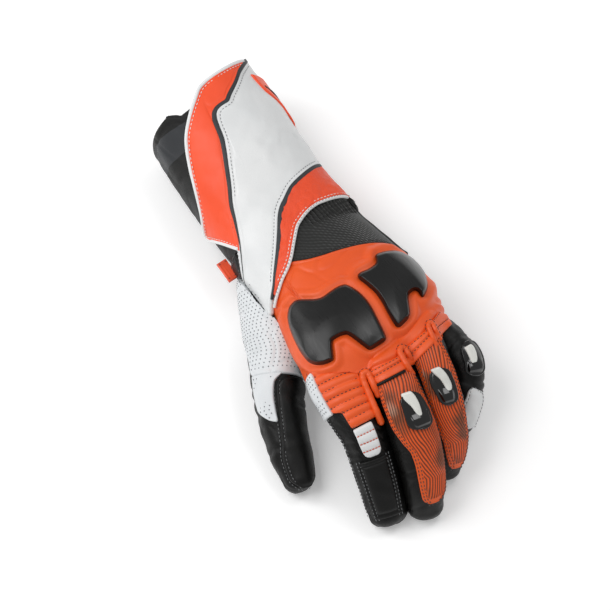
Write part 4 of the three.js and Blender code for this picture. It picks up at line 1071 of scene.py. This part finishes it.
def build_ribbing():
    end = seam_curve(RIBBING_END)
    pitch = 2.9

    def ruches(at):
        """How high each ruche stands, and where there are any: next to the piped edge."""
        wave = np.abs(np.sin(math.pi * (at.arc + 0.4 * swell(at.points, 8, 61)) / pitch)) ** 1.3
        strength = step_up(at.y, 14, 20) * step_up(at.angle, -4, 8) * (1 - step_up(at.angle, 62, 70))
        return wave, strength

    def relief(at):
        wave, strength = ruches(at)
        soft = 0.35 * swell(at.points, 22, 62) - 0.5 * bell(at.to.bottom, 1.5, 0.8)
        return 1.8 * strength * (wave - 0.5) + soft

    def values(at):
        wave, strength = ruches(at)
        # the valley value marks where painted shade darkens the ruche valleys
        return {"valley": strength * (1 - wave)}

    piece = hand_panel("wrist_ribbing_knit", UNDER_FLAP + 0.5, STRIP_EDGE - 0.5, level(RIBBING_TOP),
                       lambda a: end(a) + 0.35, -WALL, 0, LOOKS.knit, relief=relief, values=values, step=0.67)
    wear(piece, "black_knit", "wrist_ribbing")


def build_side_strip():
    end = seam_curve(RIBBING_END)

    def relief(at):
        bump = 2.6 * bell(at.y, 29, 4.5) * step_up(at.angle, 72, 80)
        return bump + 0.4 * swell(at.points, 14, 71) + 0.9 * bell(at.arc, 2.5, 1.2)

    piece = hand_panel("wrist_side_strip_leather", STRIP_EDGE, SIDE_SEAM, level(WRIST_SEAM),
                       lambda a: end(a) + 0.7, -WALL, 0.2, LOOKS.black, relief=relief, step=1.0)
    wear(piece, "black_leather", "wrist_side_strip")


def build_strap():
    flap_bottom, thumb_line = seam_curve(FLAP_BOTTOM), seam_curve(THUMB_SEAM)

    def top(angle):
        under_flap = np.where(angle > 180, flap_bottom(angle - 360) - 3.0, 99)
        return np.minimum(28 + 8 * step_up(angle, 112, 124), under_flap)

    def bottom(angle):
        return np.where(angle > 180, np.maximum(22, thumb_line(angle - 360) + 5.5), 22.0)

    def relief(at):
        return 0.2 * swell(at.points, 16, 81) - 0.4 * bell(at.border, 2.4, 0.6)

    piece = hand_panel("wrist_strap_leather", STRIP_EDGE, 360 - 67, top, bottom, SUNK, STRAP, LOOKS.black,
                       relief=relief, step=1.2)
    wear(piece, "black_leather", "wrist_strap")
    angle = np.linspace(80, 280, 160)
    sew("grey", *(on_hand(y, angle, STRAP - 0.1) for y in (bottom(angle) + 2.4, top(angle) - 2.4)))


TAB = SimpleNamespace(angle=-94, thick=2.8, start=1.6, wide=7.2, top=44.0, long=17.0)


def build_strap_tab():
    """A glossy folded tab that stands out of the strap, with a stitched line near its ends."""
    out = spread([TAB.wide], 0.8)[0]
    down = spread([TAB.long], 0.8)[0]
    y = TAB.top - down[:, None] + 0 * out
    lift = TAB.start + out[None, :] + 0 * y
    border = np.minimum.reduce([down[:, None] + 0 * y, TAB.long - down[:, None] + 0 * y,
                                TAB.wide - out[None, :] + 0 * y])
    thick = TAB.thick * rolled(border, 1.0) - 0.35 * bell(border, 2.0, 0.5)
    middle_angle = TAB.angle - TAB.thick / 2
    sides = [on_hand(y, middle_angle + sign * thick / 2 / MM_PER_DEGREE, lift) for sign in (1, -1)]
    piece = shell("strap_tab_fold", sides[0], sides[1], LOOKS.tab)
    wear(piece, "orange_leather", "strap_tab")
    for y_line in (TAB.top - 2.0, TAB.top - TAB.long + 2.0):
        lane = np.linspace(TAB.start + 1, TAB.start + TAB.wide - 1.5, 30)
        sew("dark", on_hand(y_line + 0 * lane, middle_angle + (TAB.thick / 2 - 0.1) / MM_PER_DEGREE, lane))


# The back of the hand and the palm

def to_segments(flat, start, edge):
    """The way to each point of the drawing plane from the nearest point of each segment."""
    offset = flat[..., None, :] - start
    share = np.clip((offset * edge).sum(-1) / (edge ** 2).sum(-1), 0, 1)
    return offset - share[..., None] * edge


def line_distance(flat, line):
    """Distance from points on the drawing plane to a line through points."""
    line = np.array(line, float)
    return np.linalg.norm(to_segments(flat, line[:-1], np.diff(line, axis=0)), axis=-1).min(-1)


def outline_distance(flat, outline):
    """Distance from points on the drawing plane to an outline, whether inside it, and which way is out."""
    start = np.array(outline, float)
    end = np.roll(start, -1, axis=0)
    edge = end - start
    gap = to_segments(flat, start, edge)
    distance = np.linalg.norm(gap, axis=-1)
    nearest = distance.argmin(-1)[..., None]
    x, y = flat[..., :1], flat[..., 1:]
    crosses = (start[:, 1] > y) != (end[:, 1] > y)
    rise = np.where(edge[:, 1] == 0, 1e-9, edge[:, 1])
    inside = (crosses & (x < start[:, 0] + (y - start[:, 1]) / rise * edge[:, 0])).sum(-1) % 2 == 1
    away = np.take_along_axis(gap, nearest[..., None], -2)[..., 0, :]
    length = np.take_along_axis(distance, nearest, -1)[..., 0]
    return length, inside, away / np.maximum(length, 1e-6)[..., None] * np.where(inside, -1, 1)[..., None]


def rounded_outline(rows):
    """An outline with its corners cut to a smooth curve."""
    points = np.array(rows, float)
    for _ in range(2):
        following = np.roll(points, -1, axis=0)
        cut = [0.8 * points + 0.2 * following, 0.2 * points + 0.8 * following]
        points = np.stack(cut, axis=1).reshape(-1, 2)
    return points


GUARDS = {
    "knuckle_guard_index": rounded_outline(INDEX_GUARD),
    "knuckle_guard_ring": rounded_outline(RING_GUARD),
}


def padding(points):
    """Padded ridges round the knuckle guards, with a valley beyond them."""
    flat = on_drawing(points)
    total = np.zeros(points.shape[:-1])
    for outline in GUARDS.values():
        distance, inside, _ = outline_distance(flat, outline)
        distance = np.where(inside, 0, distance)
        total = np.maximum(total, 1.9 * bell(distance, 3.4, 2.6)) - 0.5 * bell(distance, 8.5, 2.0)
    return total


def build_hand_back():
    end = seam_curve(RIBBING_END)

    def relief(at):
        wrist = step_up(at.y, -40, -10)
        side = bell(at.y, -80, 14) * step_up(at.angle, 52, 64)
        side_folds = 0.7 * np.sin(math.tau * (at.y + 84) / 6.5) * side
        soft = 0.35 * swell(at.points, 26, 91) - 0.8 * wrist * creases(at.points, 22, 92, 0.14)
        return padding(at.points) + soft + side_folds - 0.4 * bell(at.to.top, 2.4, 0.8)

    piece = hand_panel("hand_back_leather", -SIDE_SEAM, SIDE_SEAM,
                       lambda a: end(a) + 0.6 + 5 * step_up(-a, 41, 44), level(FINGER_SEAM), -WALL, 0,
                       LOOKS.hand_orange, relief=relief, step=1.25)
    wear(piece, "orange_leather", "hand_back")
    sew("dark", beside(end, 66, -40, -2.4, -0.2))


def build_palm():
    def relief(at):
        return 0.6 * swell(at.points, 28, 101) - 0.5 * creases(at.points, 24, 102, 0.15)

    broad = hand_panel("palm_leather", 100, 260, level(WRIST_SEAM), level(FINGER_SEAM),
                       -WALL, 0, LOOKS.black, relief=relief, step=1.8)
    wear(broad, "black_leather", "palm")
    heel = hand_panel("palm_heel_leather", 260, 360 + UNDER_FLAP, level(WRIST_SEAM),
                      level(THUMB_BASE - 2), -WALL, 0, LOOKS.black, relief=relief, step=1.8)
    wear(heel, "black_leather", "palm")
    y = np.linspace(30, -90, 160)
    sew("grey", on_hand(y, 103 + 0 * y, 0.05), on_hand(y, 257 + 0 * y, 0.05))


def surface_tree():
    """The leather under the guards, for finding depths along the line of sight."""
    points, faces = [], []
    for tube, grow in [(hand, 0.3)] + [(digit, FACING) for digit in (index, middle, ring, little)]:
        places = np.linspace(0 if tube is not hand else 5, tube.last + 0.9, 90)
        angles = np.linspace(-120, 120, 90)
        grid = tube.skin(places[:, None], angles[None, :], grow)
        faces.append(quads(numbers(grid.shape, sum(len(rows) for rows in points))))
        points.append(grid.reshape(-1, 3))
    return BVHTree.FromPolygons(np.concatenate(points).tolist(), np.concatenate(faces).tolist())


FAR = 300.0  # where a line of sight starts, over the drawing plane


def surface_depths(tree, flat):
    """How near the leather comes along the line of sight at points of the drawing plane."""
    depths = np.full(len(flat), np.nan)
    direction = Vector(-BACK)
    for i, (right, up) in enumerate(flat):
        hit = tree.ray_cast(Vector(right * RIGHT + up * UP + FAR * BACK), direction)[0]
        if hit is not None:
            depths[i] = Vector(BACK).dot(hit)
    return depths


class Drape:
    """A part of the drawing plane laid over the leather: its depths, as they are and eased over the gaps."""

    def __init__(self, tree, outline):
        self.outline = outline
        self.low, self.high = outline.min(0) - 6, outline.max(0) + 6
        self.rights, self.ups = (np.arange(self.low[k], self.high[k], 1.0) for k in (0, 1))
        grid = np.stack(np.meshgrid(self.rights, self.ups, indexing="ij"), axis=-1)
        depths = surface_depths(tree, grid.reshape(-1, 2)).reshape(grid.shape[:2])
        self.raw = np.where(np.isnan(depths), np.nanmin(depths), depths)
        self.eased = self.raw
        for _ in range(14):  # each round eases the steps between the digits a little more
            sides = [np.roll(self.eased, shift, axis) for axis in (0, 1) for shift in (1, -1)]
            self.eased = (self.eased + sum(sides)) / 5
        slope = np.hypot(*np.gradient(self.eased))
        self.steep = np.clip(np.sqrt(1 + slope ** 2), 1, 1.7)

    def read(self, field, flat):
        x = np.clip(flat[:, 0] - self.rights[0], 0, len(self.rights) - 1.001)
        y = np.clip(flat[:, 1] - self.ups[0], 0, len(self.ups) - 1.001)
        i, j = x.astype(int), y.astype(int)
        s, t = x - i, y - j
        return ((1 - s) * (1 - t) * field[i, j] + s * (1 - t) * field[i + 1, j]
                + (1 - s) * t * field[i, j + 1] + s * t * field[i + 1, j + 1])

    def lift(self, flat, height):
        """Points at a height over the eased leather."""
        return off_drawing(flat, self.read(self.eased, flat) + height * self.read(self.steep, flat))

    def solid(self, name, height_at, look, step=0.8):
        """A closed piece inside the outline. height_at: its height at places and distances from the edge."""
        closed = np.vstack([self.outline, self.outline[:1]])
        lengths = lengths_along(closed)
        along = np.arange(0, lengths[-1] - 0.3, 0.6)
        border = np.stack([np.interp(along, lengths, closed[:, k]) for k in (0, 1)], axis=-1)
        ahead = unit(np.roll(border, -1, 0) - np.roll(border, 1, 0))
        inward = np.stack([ahead[:, 1], -ahead[:, 0]], axis=-1)
        if not outline_distance(border[:1] + 0.2 * inward[:1], self.outline)[1][0]:
            inward = -inward
        flat = [border]
        for inset in (0.2, 0.5, 0.9, 1.4, 1.9, 2.4, 2.7, 3.2):
            lane = border + inset * inward
            distance, inside, _ = outline_distance(lane, self.outline)
            flat.append(lane[inside & (distance > 0.94 * inset)])
        inner = [np.arange(self.low[k], self.high[k], step) for k in (0, 1)]
        inner = np.stack(np.meshgrid(*inner), axis=-1).reshape(-1, 2)
        distance, inside, _ = outline_distance(inner, self.outline)
        flat = np.concatenate(flat + [inner[inside & (distance > 3.55)]])
        count = len(border)
        edges = [(i, (i + 1) % count) for i in range(count)]
        made = delaunay_2d_cdt([Vector(p) for p in flat], edges, [], 1, 1e-4)
        flat = np.array([tuple(p) for p in made[0]])
        faces = [list(face) for face in made[2]]
        distance, _, out = outline_distance(flat, self.outline)
        distance[:count] = 0
        top = self.lift(flat, height_at(flat, distance, out))
        under = np.minimum(self.read(self.eased, flat), self.read(self.raw, flat)) - 0.8
        total = len(flat)
        walls = [[a, b, b + total, a + total] for a, b in edges]
        turned = [[v + total for v in reversed(face)] for face in faces]
        return mesh_piece(name, np.concatenate([top, off_drawing(flat, under)]), faces + turned + walls, look)


def guard_height(flat, distance, out):
    """A guard's moulded height: rounded at its upper edges, with a steep wall at the lower ones."""
    lower = step_up(-out[:, 1], 0.2, 0.7)
    rounded = across_circle(distance / 2.2)
    wall = np.clip(distance / 2.6, 0, 1)
    return 0.3 + GUARD_HEIGHT * (rounded * (1 - lower) + wall * lower) + 0.05 * np.minimum(distance, 14)


def build_guards(tree):
    for name, outline in GUARDS.items():
        piece = Drape(tree, outline).solid(f"{name}_shell", guard_height, LOOKS.guard)
        wear(piece, "gloss_guard", name)


def fold_height(flat, distance, out):
    rounded = across_circle(distance / 1.6)
    return 0.3 + (FOLD_HEIGHT - 0.3) * rounded - bell(line_distance(flat, FOLD_VALLEY), 0, 0.9)


def along_line(rows, count):
    """Points on the drawing plane at even steps of a line through the rows."""
    rows = np.array(rows, float)
    lengths = lengths_along(rows)
    at = np.linspace(0, lengths[-1], count)
    return np.stack([np.interp(at, lengths, rows[:, k]) for k in (0, 1)], axis=-1)


def cover_height(flat, distance, out):
    return -1.2 + 1.9 * step_up(distance, 0, 4.5)


def build_root_cover(drape):
    cover = drape.solid("knuckle_root_cover", cover_height, LOOKS.hand_orange)
    wear(cover, "orange_leather", "hand_back")


def build_fold_band(drape):
    """The stitched folds of the hand's back over the finger roots, and a black cord of painted shade in the
    gap below them.
    """
    piece = drape.solid("knuckle_fold_band", fold_height, LOOKS.hand_orange, 0.6)
    wear(piece, "orange_leather", "hand_back")
    sew("dark", drape.lift(along_line(FOLD_VALLEY, 120), 0.9),
        drape.lift(along_line(FOLD_BAND[:6], 120) - np.array([-0.2, 0.9]), 1.45))
    # a black cord paints the shade in the gap below the folds
    gap = sweep("finger_root_gap_shade", drape.lift(along_line(ROOT_GAP, 40), 1.0), 1.0, LOOKS.black)
    wear(gap, "black_leather")


def build_loops(drape):
    for name, rows in LOOPS.items():
        radius = LOOP_RADII[name]
        flat = np.array(rows, float)
        height = np.full(len(flat), FOLD_HEIGHT + 0.15 * radius)
        height[[0, -1]] -= 1.5 * radius
        share = np.linspace(0, 1, 120)
        path = through(drape.lift(flat, height), share * (len(flat) - 1))
        pinched = radius * (1 + 0.035 * np.sin(share * 70))
        loop = sweep(f"{name}_tube", path, pinched, LOOKS.hand_orange, sides=20, outward=BACK)
        wear(loop, "orange_leather", name)
        outward = unit(np.cross(BACK, np.gradient(path, axis=0)))
        top = slice(12, 108)
        sew("dark", (path + (radius + 0.25) * outward - 0.5 * radius * BACK)[top])


# The digits

def build_sheath(name, tube, relief):
    """A digit's hollow leather tube, rooted in the hand's wall and closed at its tip."""
    step = 1.25
    angles = np.linspace(-180, 180, int(round(math.tau * tube.mean_radius / step)) + 1)
    start = tube.length_at(root_place(tube, angles))
    start[-1] = start[0]
    share = np.linspace(0, 1, int(tube.reach / step))[:, None]
    place = tube.place_at(start + share * (tube.reach - start))
    place[-1] = tube.last + 1
    angle = np.broadcast_to(angles, place.shape)
    at = SimpleNamespace(place=place, angle=angle, points=tube.skin(place, angle, 0.0))
    grow = relief(at) * (1 - step_up(place, tube.last + 0.75, tube.last + 1))
    uv = np.stack([angle * math.radians(tube.mean_radius), tube.length_at(place)], axis=-1)
    piece = shell(f"{name}_sheath_leather", tube.skin(place, angle, grow), tube.skin(place, angle, -WALL),
                  LOOKS.black, round_tip=True, uv=uv)
    wear(piece, "black_leather", f"{name}_sheath")


def seam_ridge(at, line, height=0.5):
    """A raised seam along a line of the digit, with a fine groove in its middle."""
    off = (at.angle - line(at.place) + 180) % 360 - 180
    return height * bell(off, 0, 9) - 1.4 * height * bell(off, 0, 2.6)


def knuckle_folds(at, places, depth, width):
    """Folds across a bent digit, deepest on its back and sides."""
    total = np.zeros_like(at.place)
    for k, place in enumerate(places):
        line = place + 0.06 * np.sin(np.radians(at.angle * 2.2) + 1.7 * k)
        total -= depth * bell(at.place, line, width) * (0.5 + 0.5 * np.cos(np.radians(at.angle * 0.8)))
        total += 0.45 * depth * bell(at.place, line + 2.2 * width, 1.3 * width)
    return total


def digit_wrinkles(at, seed, amount):
    return amount * swell(at.points, 16, seed) - amount * creases(at.points, 13, seed + 1, 0.14)


def build_thumb():
    side_line = smooth_curve([3, 8], [-62, -70])
    build_sheath("thumb", thumb, lambda at: digit_wrinkles(at, 111, 0.4) + seam_ridge(at, side_line)
                 + knuckle_folds(at, [3.6, 3.95, 4.35, 5.6], 0.7, 0.09))

    def top_relief(at):
        folds = -0.7 * bell(at.place, 4.05 + 0.05 * np.sin(at.across / 3), 0.08) * step_up(at.across, 0, 6)
        folds += -0.6 * bell(at.place, 4.35 + 0.004 * at.across, 0.06) * step_up(at.across, -2, 5)
        soft = 0.5 * bell(at.across, 0, 12) + 0.25 * swell(at.points, 14, 113)
        return soft + folds - 0.45 * bell(at.border, 2.2, 0.5)

    top = digit_panel("thumb_top_leather", thumb, THUMB_TOP, SEAT, FACING + 0.5, LOOKS.black,
                      relief=top_relief, corner=7, edge=1.8)
    wear(top, "black_leather", "thumb_top")
    sew("grey", *edge_rows(thumb, THUMB_TOP[1:], 2.2, FACING + 0.25),
        *edge_rows(thumb, THUMB_TOP[1:], -1.3, 0.35, sides=("left",)))

    def gusset_relief(at):
        bulge = 1.8 * bell(at.place, 1.2, 0.55) * bell(at.angle, -60, 40)
        return bulge + 0.6 * swell(at.points, 24, 121) - 0.7 * creases(at.points, 24, 122, 0.12)

    gusset = digit_panel("thumb_gusset_leather", thumb, GUSSET_UPPER, SEAT, FACING + 0.3, LOOKS.perforated,
                         step=1.2, relief=gusset_relief, rooted=True, corner=3)
    wear(gusset, "perforated_leather", "thumb_gusset")
    point = digit_panel("thumb_gusset_point", thumb, GUSSET_LOWER, SEAT, FACING + 0.3, LOOKS.perforated,
                        step=1.0, relief=lambda at: 0.3 * swell(at.points, 20, 123), corner=1.2)
    wear(point, "perforated_leather", "thumb_gusset")
    parts = (hole_places(thumb, GUSSET_UPPER, FACING + 0.36, gusset_relief),
             hole_places(thumb, GUSSET_LOWER, FACING + 0.36))
    punch("gusset_holes", *(np.concatenate(part) for part in zip(*parts)))


def hole_places(tube, edges, height, relief=None):
    """Staggered places for holes inside the edges of a digit's panel, and the way that each faces."""
    pitch, margin = 2.9, 2.6
    rows, left, right = edge_curves(edges)
    start, end = tube.length_at(rows[0]) + margin, tube.length_at(rows[-1]) - margin
    places, facing = [], []
    for n, length in enumerate(np.arange(start, end, pitch * 0.866)):
        place = float(tube.place_at(length))
        mm = float(tube.mm_per_degree(place))
        angles = np.arange(left(place) + margin / mm, right(place) - margin / mm, pitch / mm)
        angles = angles + (n % 2) * pitch / mm / 2
        if not len(angles):
            continue
        at = SimpleNamespace(place=place, angle=angles, points=tube.skin(place, angles, height))
        grow = height + (relief(at) if relief else 0)
        here = tube.skin(place, angles, grow)
        keep = depth_in_hand(here) < -0.5
        places.append(here[keep])
        facing.append(unit(tube.skin(place, angles, grow + 4) - here)[keep])
    return np.concatenate(places), np.concatenate(facing)


def between_ribs(edges, ribs):
    """Places of the valleys between the ribs of a panel on the index finger."""
    first, last = index.length_at(edges[0][0]), index.length_at(edges[-1][0])
    return [float(index.place_at(first + (last - first) * k / ribs)) for k in range(1, ribs)]


def build_index():
    outer_line, inner_line = smooth_curve([1, 7], [-78, -74]), smooth_curve([1, 7], [82, 78])

    def relief(at):
        inner_side = 2.0 * bell(at.angle, 95, 35) * step_up(at.place, 1.7, 2.4)
        return (digit_wrinkles(at, 131, 0.35) + seam_ridge(at, outer_line, 0.7) + seam_ridge(at, inner_line)
                + inner_side + knuckle_folds(at, [2.75, 3.05, 3.35, 3.62], 0.7, 0.06))

    build_sheath("index", index, relief)
    ribs, patch_ribs = 8, 4

    def ribbed(at):
        wave = np.abs(np.sin(math.pi * ribs * at.share))
        return 1.4 * RIB * (wave ** 0.5 - 0.5) + 0.15 * swell(at.points, 10, 133)

    def patch_relief(at):
        return 0.8 * (np.abs(np.sin(math.pi * patch_ribs * at.share)) ** 0.6 - 0.5)

    piece = digit_panel("index_ribbing_leather", index, INDEX_RIBBED, SEAT, FACING + 0.5, LOOKS.hand_orange,
                        relief=ribbed, rooted=True, step=0.7, corner=1.5)
    wear(piece, "orange_leather", "index_ribbing")
    left, right = edge_curves(INDEX_RIBBED)[1:]
    for place in between_ribs(INDEX_RIBBED, ribs):
        sew("dark", along_digit(index, place, place, left(place) + 4, right(place) - 3, FACING + 0.25, 40))
    sew("dark", *edge_rows(index, INDEX_RIBBED, 1.6, FACING + 0.5))
    patch = digit_panel("index_patch_leather", index, INDEX_PATCH, SEAT, FACING + 0.3, LOOKS.white,
                        relief=patch_relief, step=0.7, corner=1.2)
    wear(patch, "white_leather", "index_patch")
    for place in between_ribs(INDEX_PATCH, patch_ribs):
        sew("orange", along_digit(index, place, place, -16, 17, FACING + 0.2, 30))
    web = digit_panel("index_web_leather", index, INDEX_WEB, SEAT, FACING, LOOKS.perforated, rooted=True,
                      corner=1.5, relief=lambda at: 0.3 * swell(at.points, 18, 135))
    wear(web, "perforated_leather", "index_web_panel")
    punch("web_holes", *hole_places(index, INDEX_WEB, FACING + 0.06))

    def tip_relief(at):
        frame_line = 0.35 * step_up(at.border, 4, 6) - 0.7 * bell(at.border, 3.6, 0.6)
        return 0.2 * swell(at.points, 12, 137) + frame_line

    tip = digit_panel("index_tip_leather", index, INDEX_TIP, SEAT, FACING, LOOKS.black, relief=tip_relief,
                      corner=4)
    wear(tip, "black_leather", "index_tip")
    sew("grey", *edge_rows(index, INDEX_TIP, 1.7, FACING), *edge_rows(index, INDEX_TIP, 3.7, FACING - 0.4))
    sew("grey", along_digit(index, 1.9, 5.8, -72, -68, 0.9, 120),
        along_digit(index, 1.9, 5.8, -84, -80, 0.7, 120))


def build_finger(name, tube, folds, top_edges, seed, slant):
    """A finger with a grooved top panel."""
    outer_line, inner_line = smooth_curve([0, 7], [-96, -92]), smooth_curve([0, 7], [96, 92])

    def relief(at):
        return (digit_wrinkles(at, seed, 0.3) + seam_ridge(at, outer_line) + seam_ridge(at, inner_line)
                + knuckle_folds(at, folds, 0.6, 0.07))

    build_sheath(name, tube, relief)

    def lines(at):
        fan = slant * np.sin(math.pi * np.clip(at.share * 1.25, 0, 1)) * at.along
        wave = np.cos(math.tau * (at.across * (1 + 0.25 * at.share) + fan) / 1.9)
        return wave, step_up(at.border, 3.2, 4.0)

    def top_relief(at):
        wave, inside = lines(at)
        return 0.22 * wave * inside - 0.45 * bell(at.border, 1.5, 0.4) - 0.35 * bell(at.border, 2.9, 0.4)

    def zones(at):
        wave, inside = lines(at)
        blot = swell(at.points, 17, seed + 5)
        upper = step_up(-at.across, 2, 8) * bell(at.share, 0.34, 0.14)
        lower = step_up(at.across, -4, 5) * bell(at.share, 0.66, 0.12)
        # groove: where painted shade darkens the valleys of the grooves
        return {"groove": (0.5 - 0.5 * wave) * inside,
                "olive": inside * np.clip(upper + lower + 0.35 * blot, 0, 1),
                "pale": inside * step_up(-at.across, 4, 11) * bell(at.share, 0.26, 0.06)}

    wear(digit_panel(f"{name}_top_leather", tube, top_edges, SEAT, FACING, LOOKS.grooved, relief=top_relief,
                     values=zones, step=0.44, corner=4, rooted=True), "textured_leather", f"{name}_top")
    sew("dark", *edge_rows(tube, top_edges, 1.4, FACING + 0.02),
        *edge_rows(tube, top_edges, 3.0, FACING + 0.02))


def build_slider(name, tube, edges, insert_edges, base):
    """A hard cup with a stepped rim and a raised lower block, and a pale insert in its upper half."""
    def relief(at):
        lower = step_up(at.share, 0.5, 0.74)
        block = 1.3 * step_up(at.border, 2.2, 3.8) * lower - 0.3 * step_up(at.border, 2.0, 2.8) * (1 - lower)
        return 1.5 * across_circle(at.border / 1.1) - 0.5 * bell(at.border, 2.0, 0.5) + block

    piece = digit_panel(f"{name}_slider_cup", tube, edges, base - 1.2, base + 0.9, LOOKS.slider,
                        relief=relief, step=0.42, corner=4.5, edge=0.6, full_relief=True)
    wear(piece, "gloss_guard", f"{name}_slider")
    insert = digit_panel(f"{name}_slider_insert", tube, insert_edges, base + 0.6, base + 2.3, LOOKS.insert,
                         relief=lambda at: 0.7 * step_up(at.border, 0, 1.2), step=0.5, corner=1.2,
                         edge=0.7, full_relief=True)
    wear(insert, "pale_insert", f"{name}_insert")


def build_little():
    outer_line, inner_line = smooth_curve([0, 7], [-100, -100]), smooth_curve([0, 7], [78, 70])

    def relief(at):
        return (digit_wrinkles(at, 151, 0.35) + seam_ridge(at, outer_line) + seam_ridge(at, inner_line, 0.6)
                + knuckle_folds(at, [1.25, 2.6, 2.95, 3.4], 0.6, 0.06))

    build_sheath("little", little, relief)
    patch = digit_panel("little_patch_leather", little, LITTLE_PATCH, SEAT, FACING, LOOKS.white, corner=3.5,
                        relief=lambda at: 0.25 * swell(at.points, 9, 153) - 0.4 * bell(at.border, 1.9, 0.5))
    wear(patch, "white_leather", "little_patch")
    sew("grey", *edge_rows(little, LITTLE_PATCH, 1.8, FACING))


# Camera, light and floor

def look_along(obj, place):
    """Stands a camera or light at a place with the drawing plane square to it."""
    obj.matrix_world = Matrix([(*column, position) for column, position in zip(
        np.stack([RIGHT, UP, BACK], axis=1).tolist(), place)] + [(0, 0, 0, 1)])


def build_camera():
    lens, sensor, picture_width = 500.0, 36.0, 0.40667
    centre = 0.00052 * RIGHT + 0.01404 * UP + 0.045 * BACK  # in the middle of the picture
    camera = bpy.data.cameras.new("camera")
    camera.lens = lens
    camera.sensor_width = sensor
    camera.clip_end = 50
    obj = link(bpy.data.objects.new("camera", camera))
    look_along(obj, centre + BACK * picture_width * lens / sensor)
    bpy.context.scene.camera = obj


def area_light(name, place, size, power):
    lamp = bpy.data.lights.new(name, "AREA")
    lamp.shape = "RECTANGLE"
    lamp.size, lamp.size_y = size
    lamp.energy = power
    obj = link(bpy.data.objects.new(name, lamp))
    obj.location = place
    obj.rotation_euler = (Vector(place) - Vector((0, 0, 0.04))).to_track_quat("Z", "Y").to_euler()


def build_studio():
    world = bpy.data.worlds.new("soft studio")
    world.use_nodes = True
    world.node_tree.nodes["Background"].inputs["Color"].default_value = (1, 1, 1, 1)
    world.node_tree.nodes["Background"].inputs["Strength"].default_value = 0.45
    bpy.context.scene.world = world
    area_light("key softbox", (-0.55, 0.25, 1.1), (0.9, 0.7), 6.5)
    area_light("top softbox", (0.5, -0.04, 1.15), (0.42, 0.42), 2.2)
    area_light("side softbox", (-0.72, 0.72, 0.66), (0.3, 0.6), 2.0)
    mesh = bpy.data.meshes.new("floor")
    reach = 4.0
    corners = [(-reach, -reach, 0), (reach, -reach, 0), (reach, reach, 0), (-reach, reach, 0)]
    mesh.from_pydata(corners, [], [(0, 1, 2, 3)])
    floor = Look("pale floor", "#fcfcfc", 0.8)
    floor.tint(floor.noise(6.0, 2.0), "#f8f8f8", 0.15)
    floor.shader.inputs["Emission Color"].default_value = (1, 1, 1, 1)
    floor.shader.inputs["Emission Strength"].default_value = 0.22
    mesh.materials.append(floor.done())
    link(bpy.data.objects.new("floor", mesh))
    bpy.context.scene.view_settings.view_transform = "Standard"


build_camera()
build_studio()
build_lower_cuff()
build_centre_panel()
build_stripes()
build_flap()
build_outer_patch()
build_rim_wedge()
build_ribbing()
build_side_strip()
build_strap()
build_strap_tab()
build_hand_back()
build_palm()
UNDER_PIECES = surface_tree()
build_guards(UNDER_PIECES)
build_root_cover(Drape(UNDER_PIECES, np.array(ROOT_COVER, float)))
build_fold_band(Drape(UNDER_PIECES, np.array(FOLD_BAND, float)))
build_loops(Drape(UNDER_PIECES, np.array([(22, -90), (94, -90), (94, -8), (22, -8)], float)))
build_thumb()
build_index()
build_finger("middle", middle, [3.0, 3.6, 4.2], MIDDLE_TOP, 141, 0.22)
build_finger("ring", ring, [2.8, 3.5, 4.2], RING_TOP, 145, 0.2)
build_little()
build_slider("middle", middle, MIDDLE_SLIDER, MIDDLE_INSERT, FACING)
build_slider("ring", ring, RING_SLIDER, RING_INSERT, FACING)
build_slider("little", little, LITTLE_SLIDER, LITTLE_INSERT, 0.3)
make_threads()
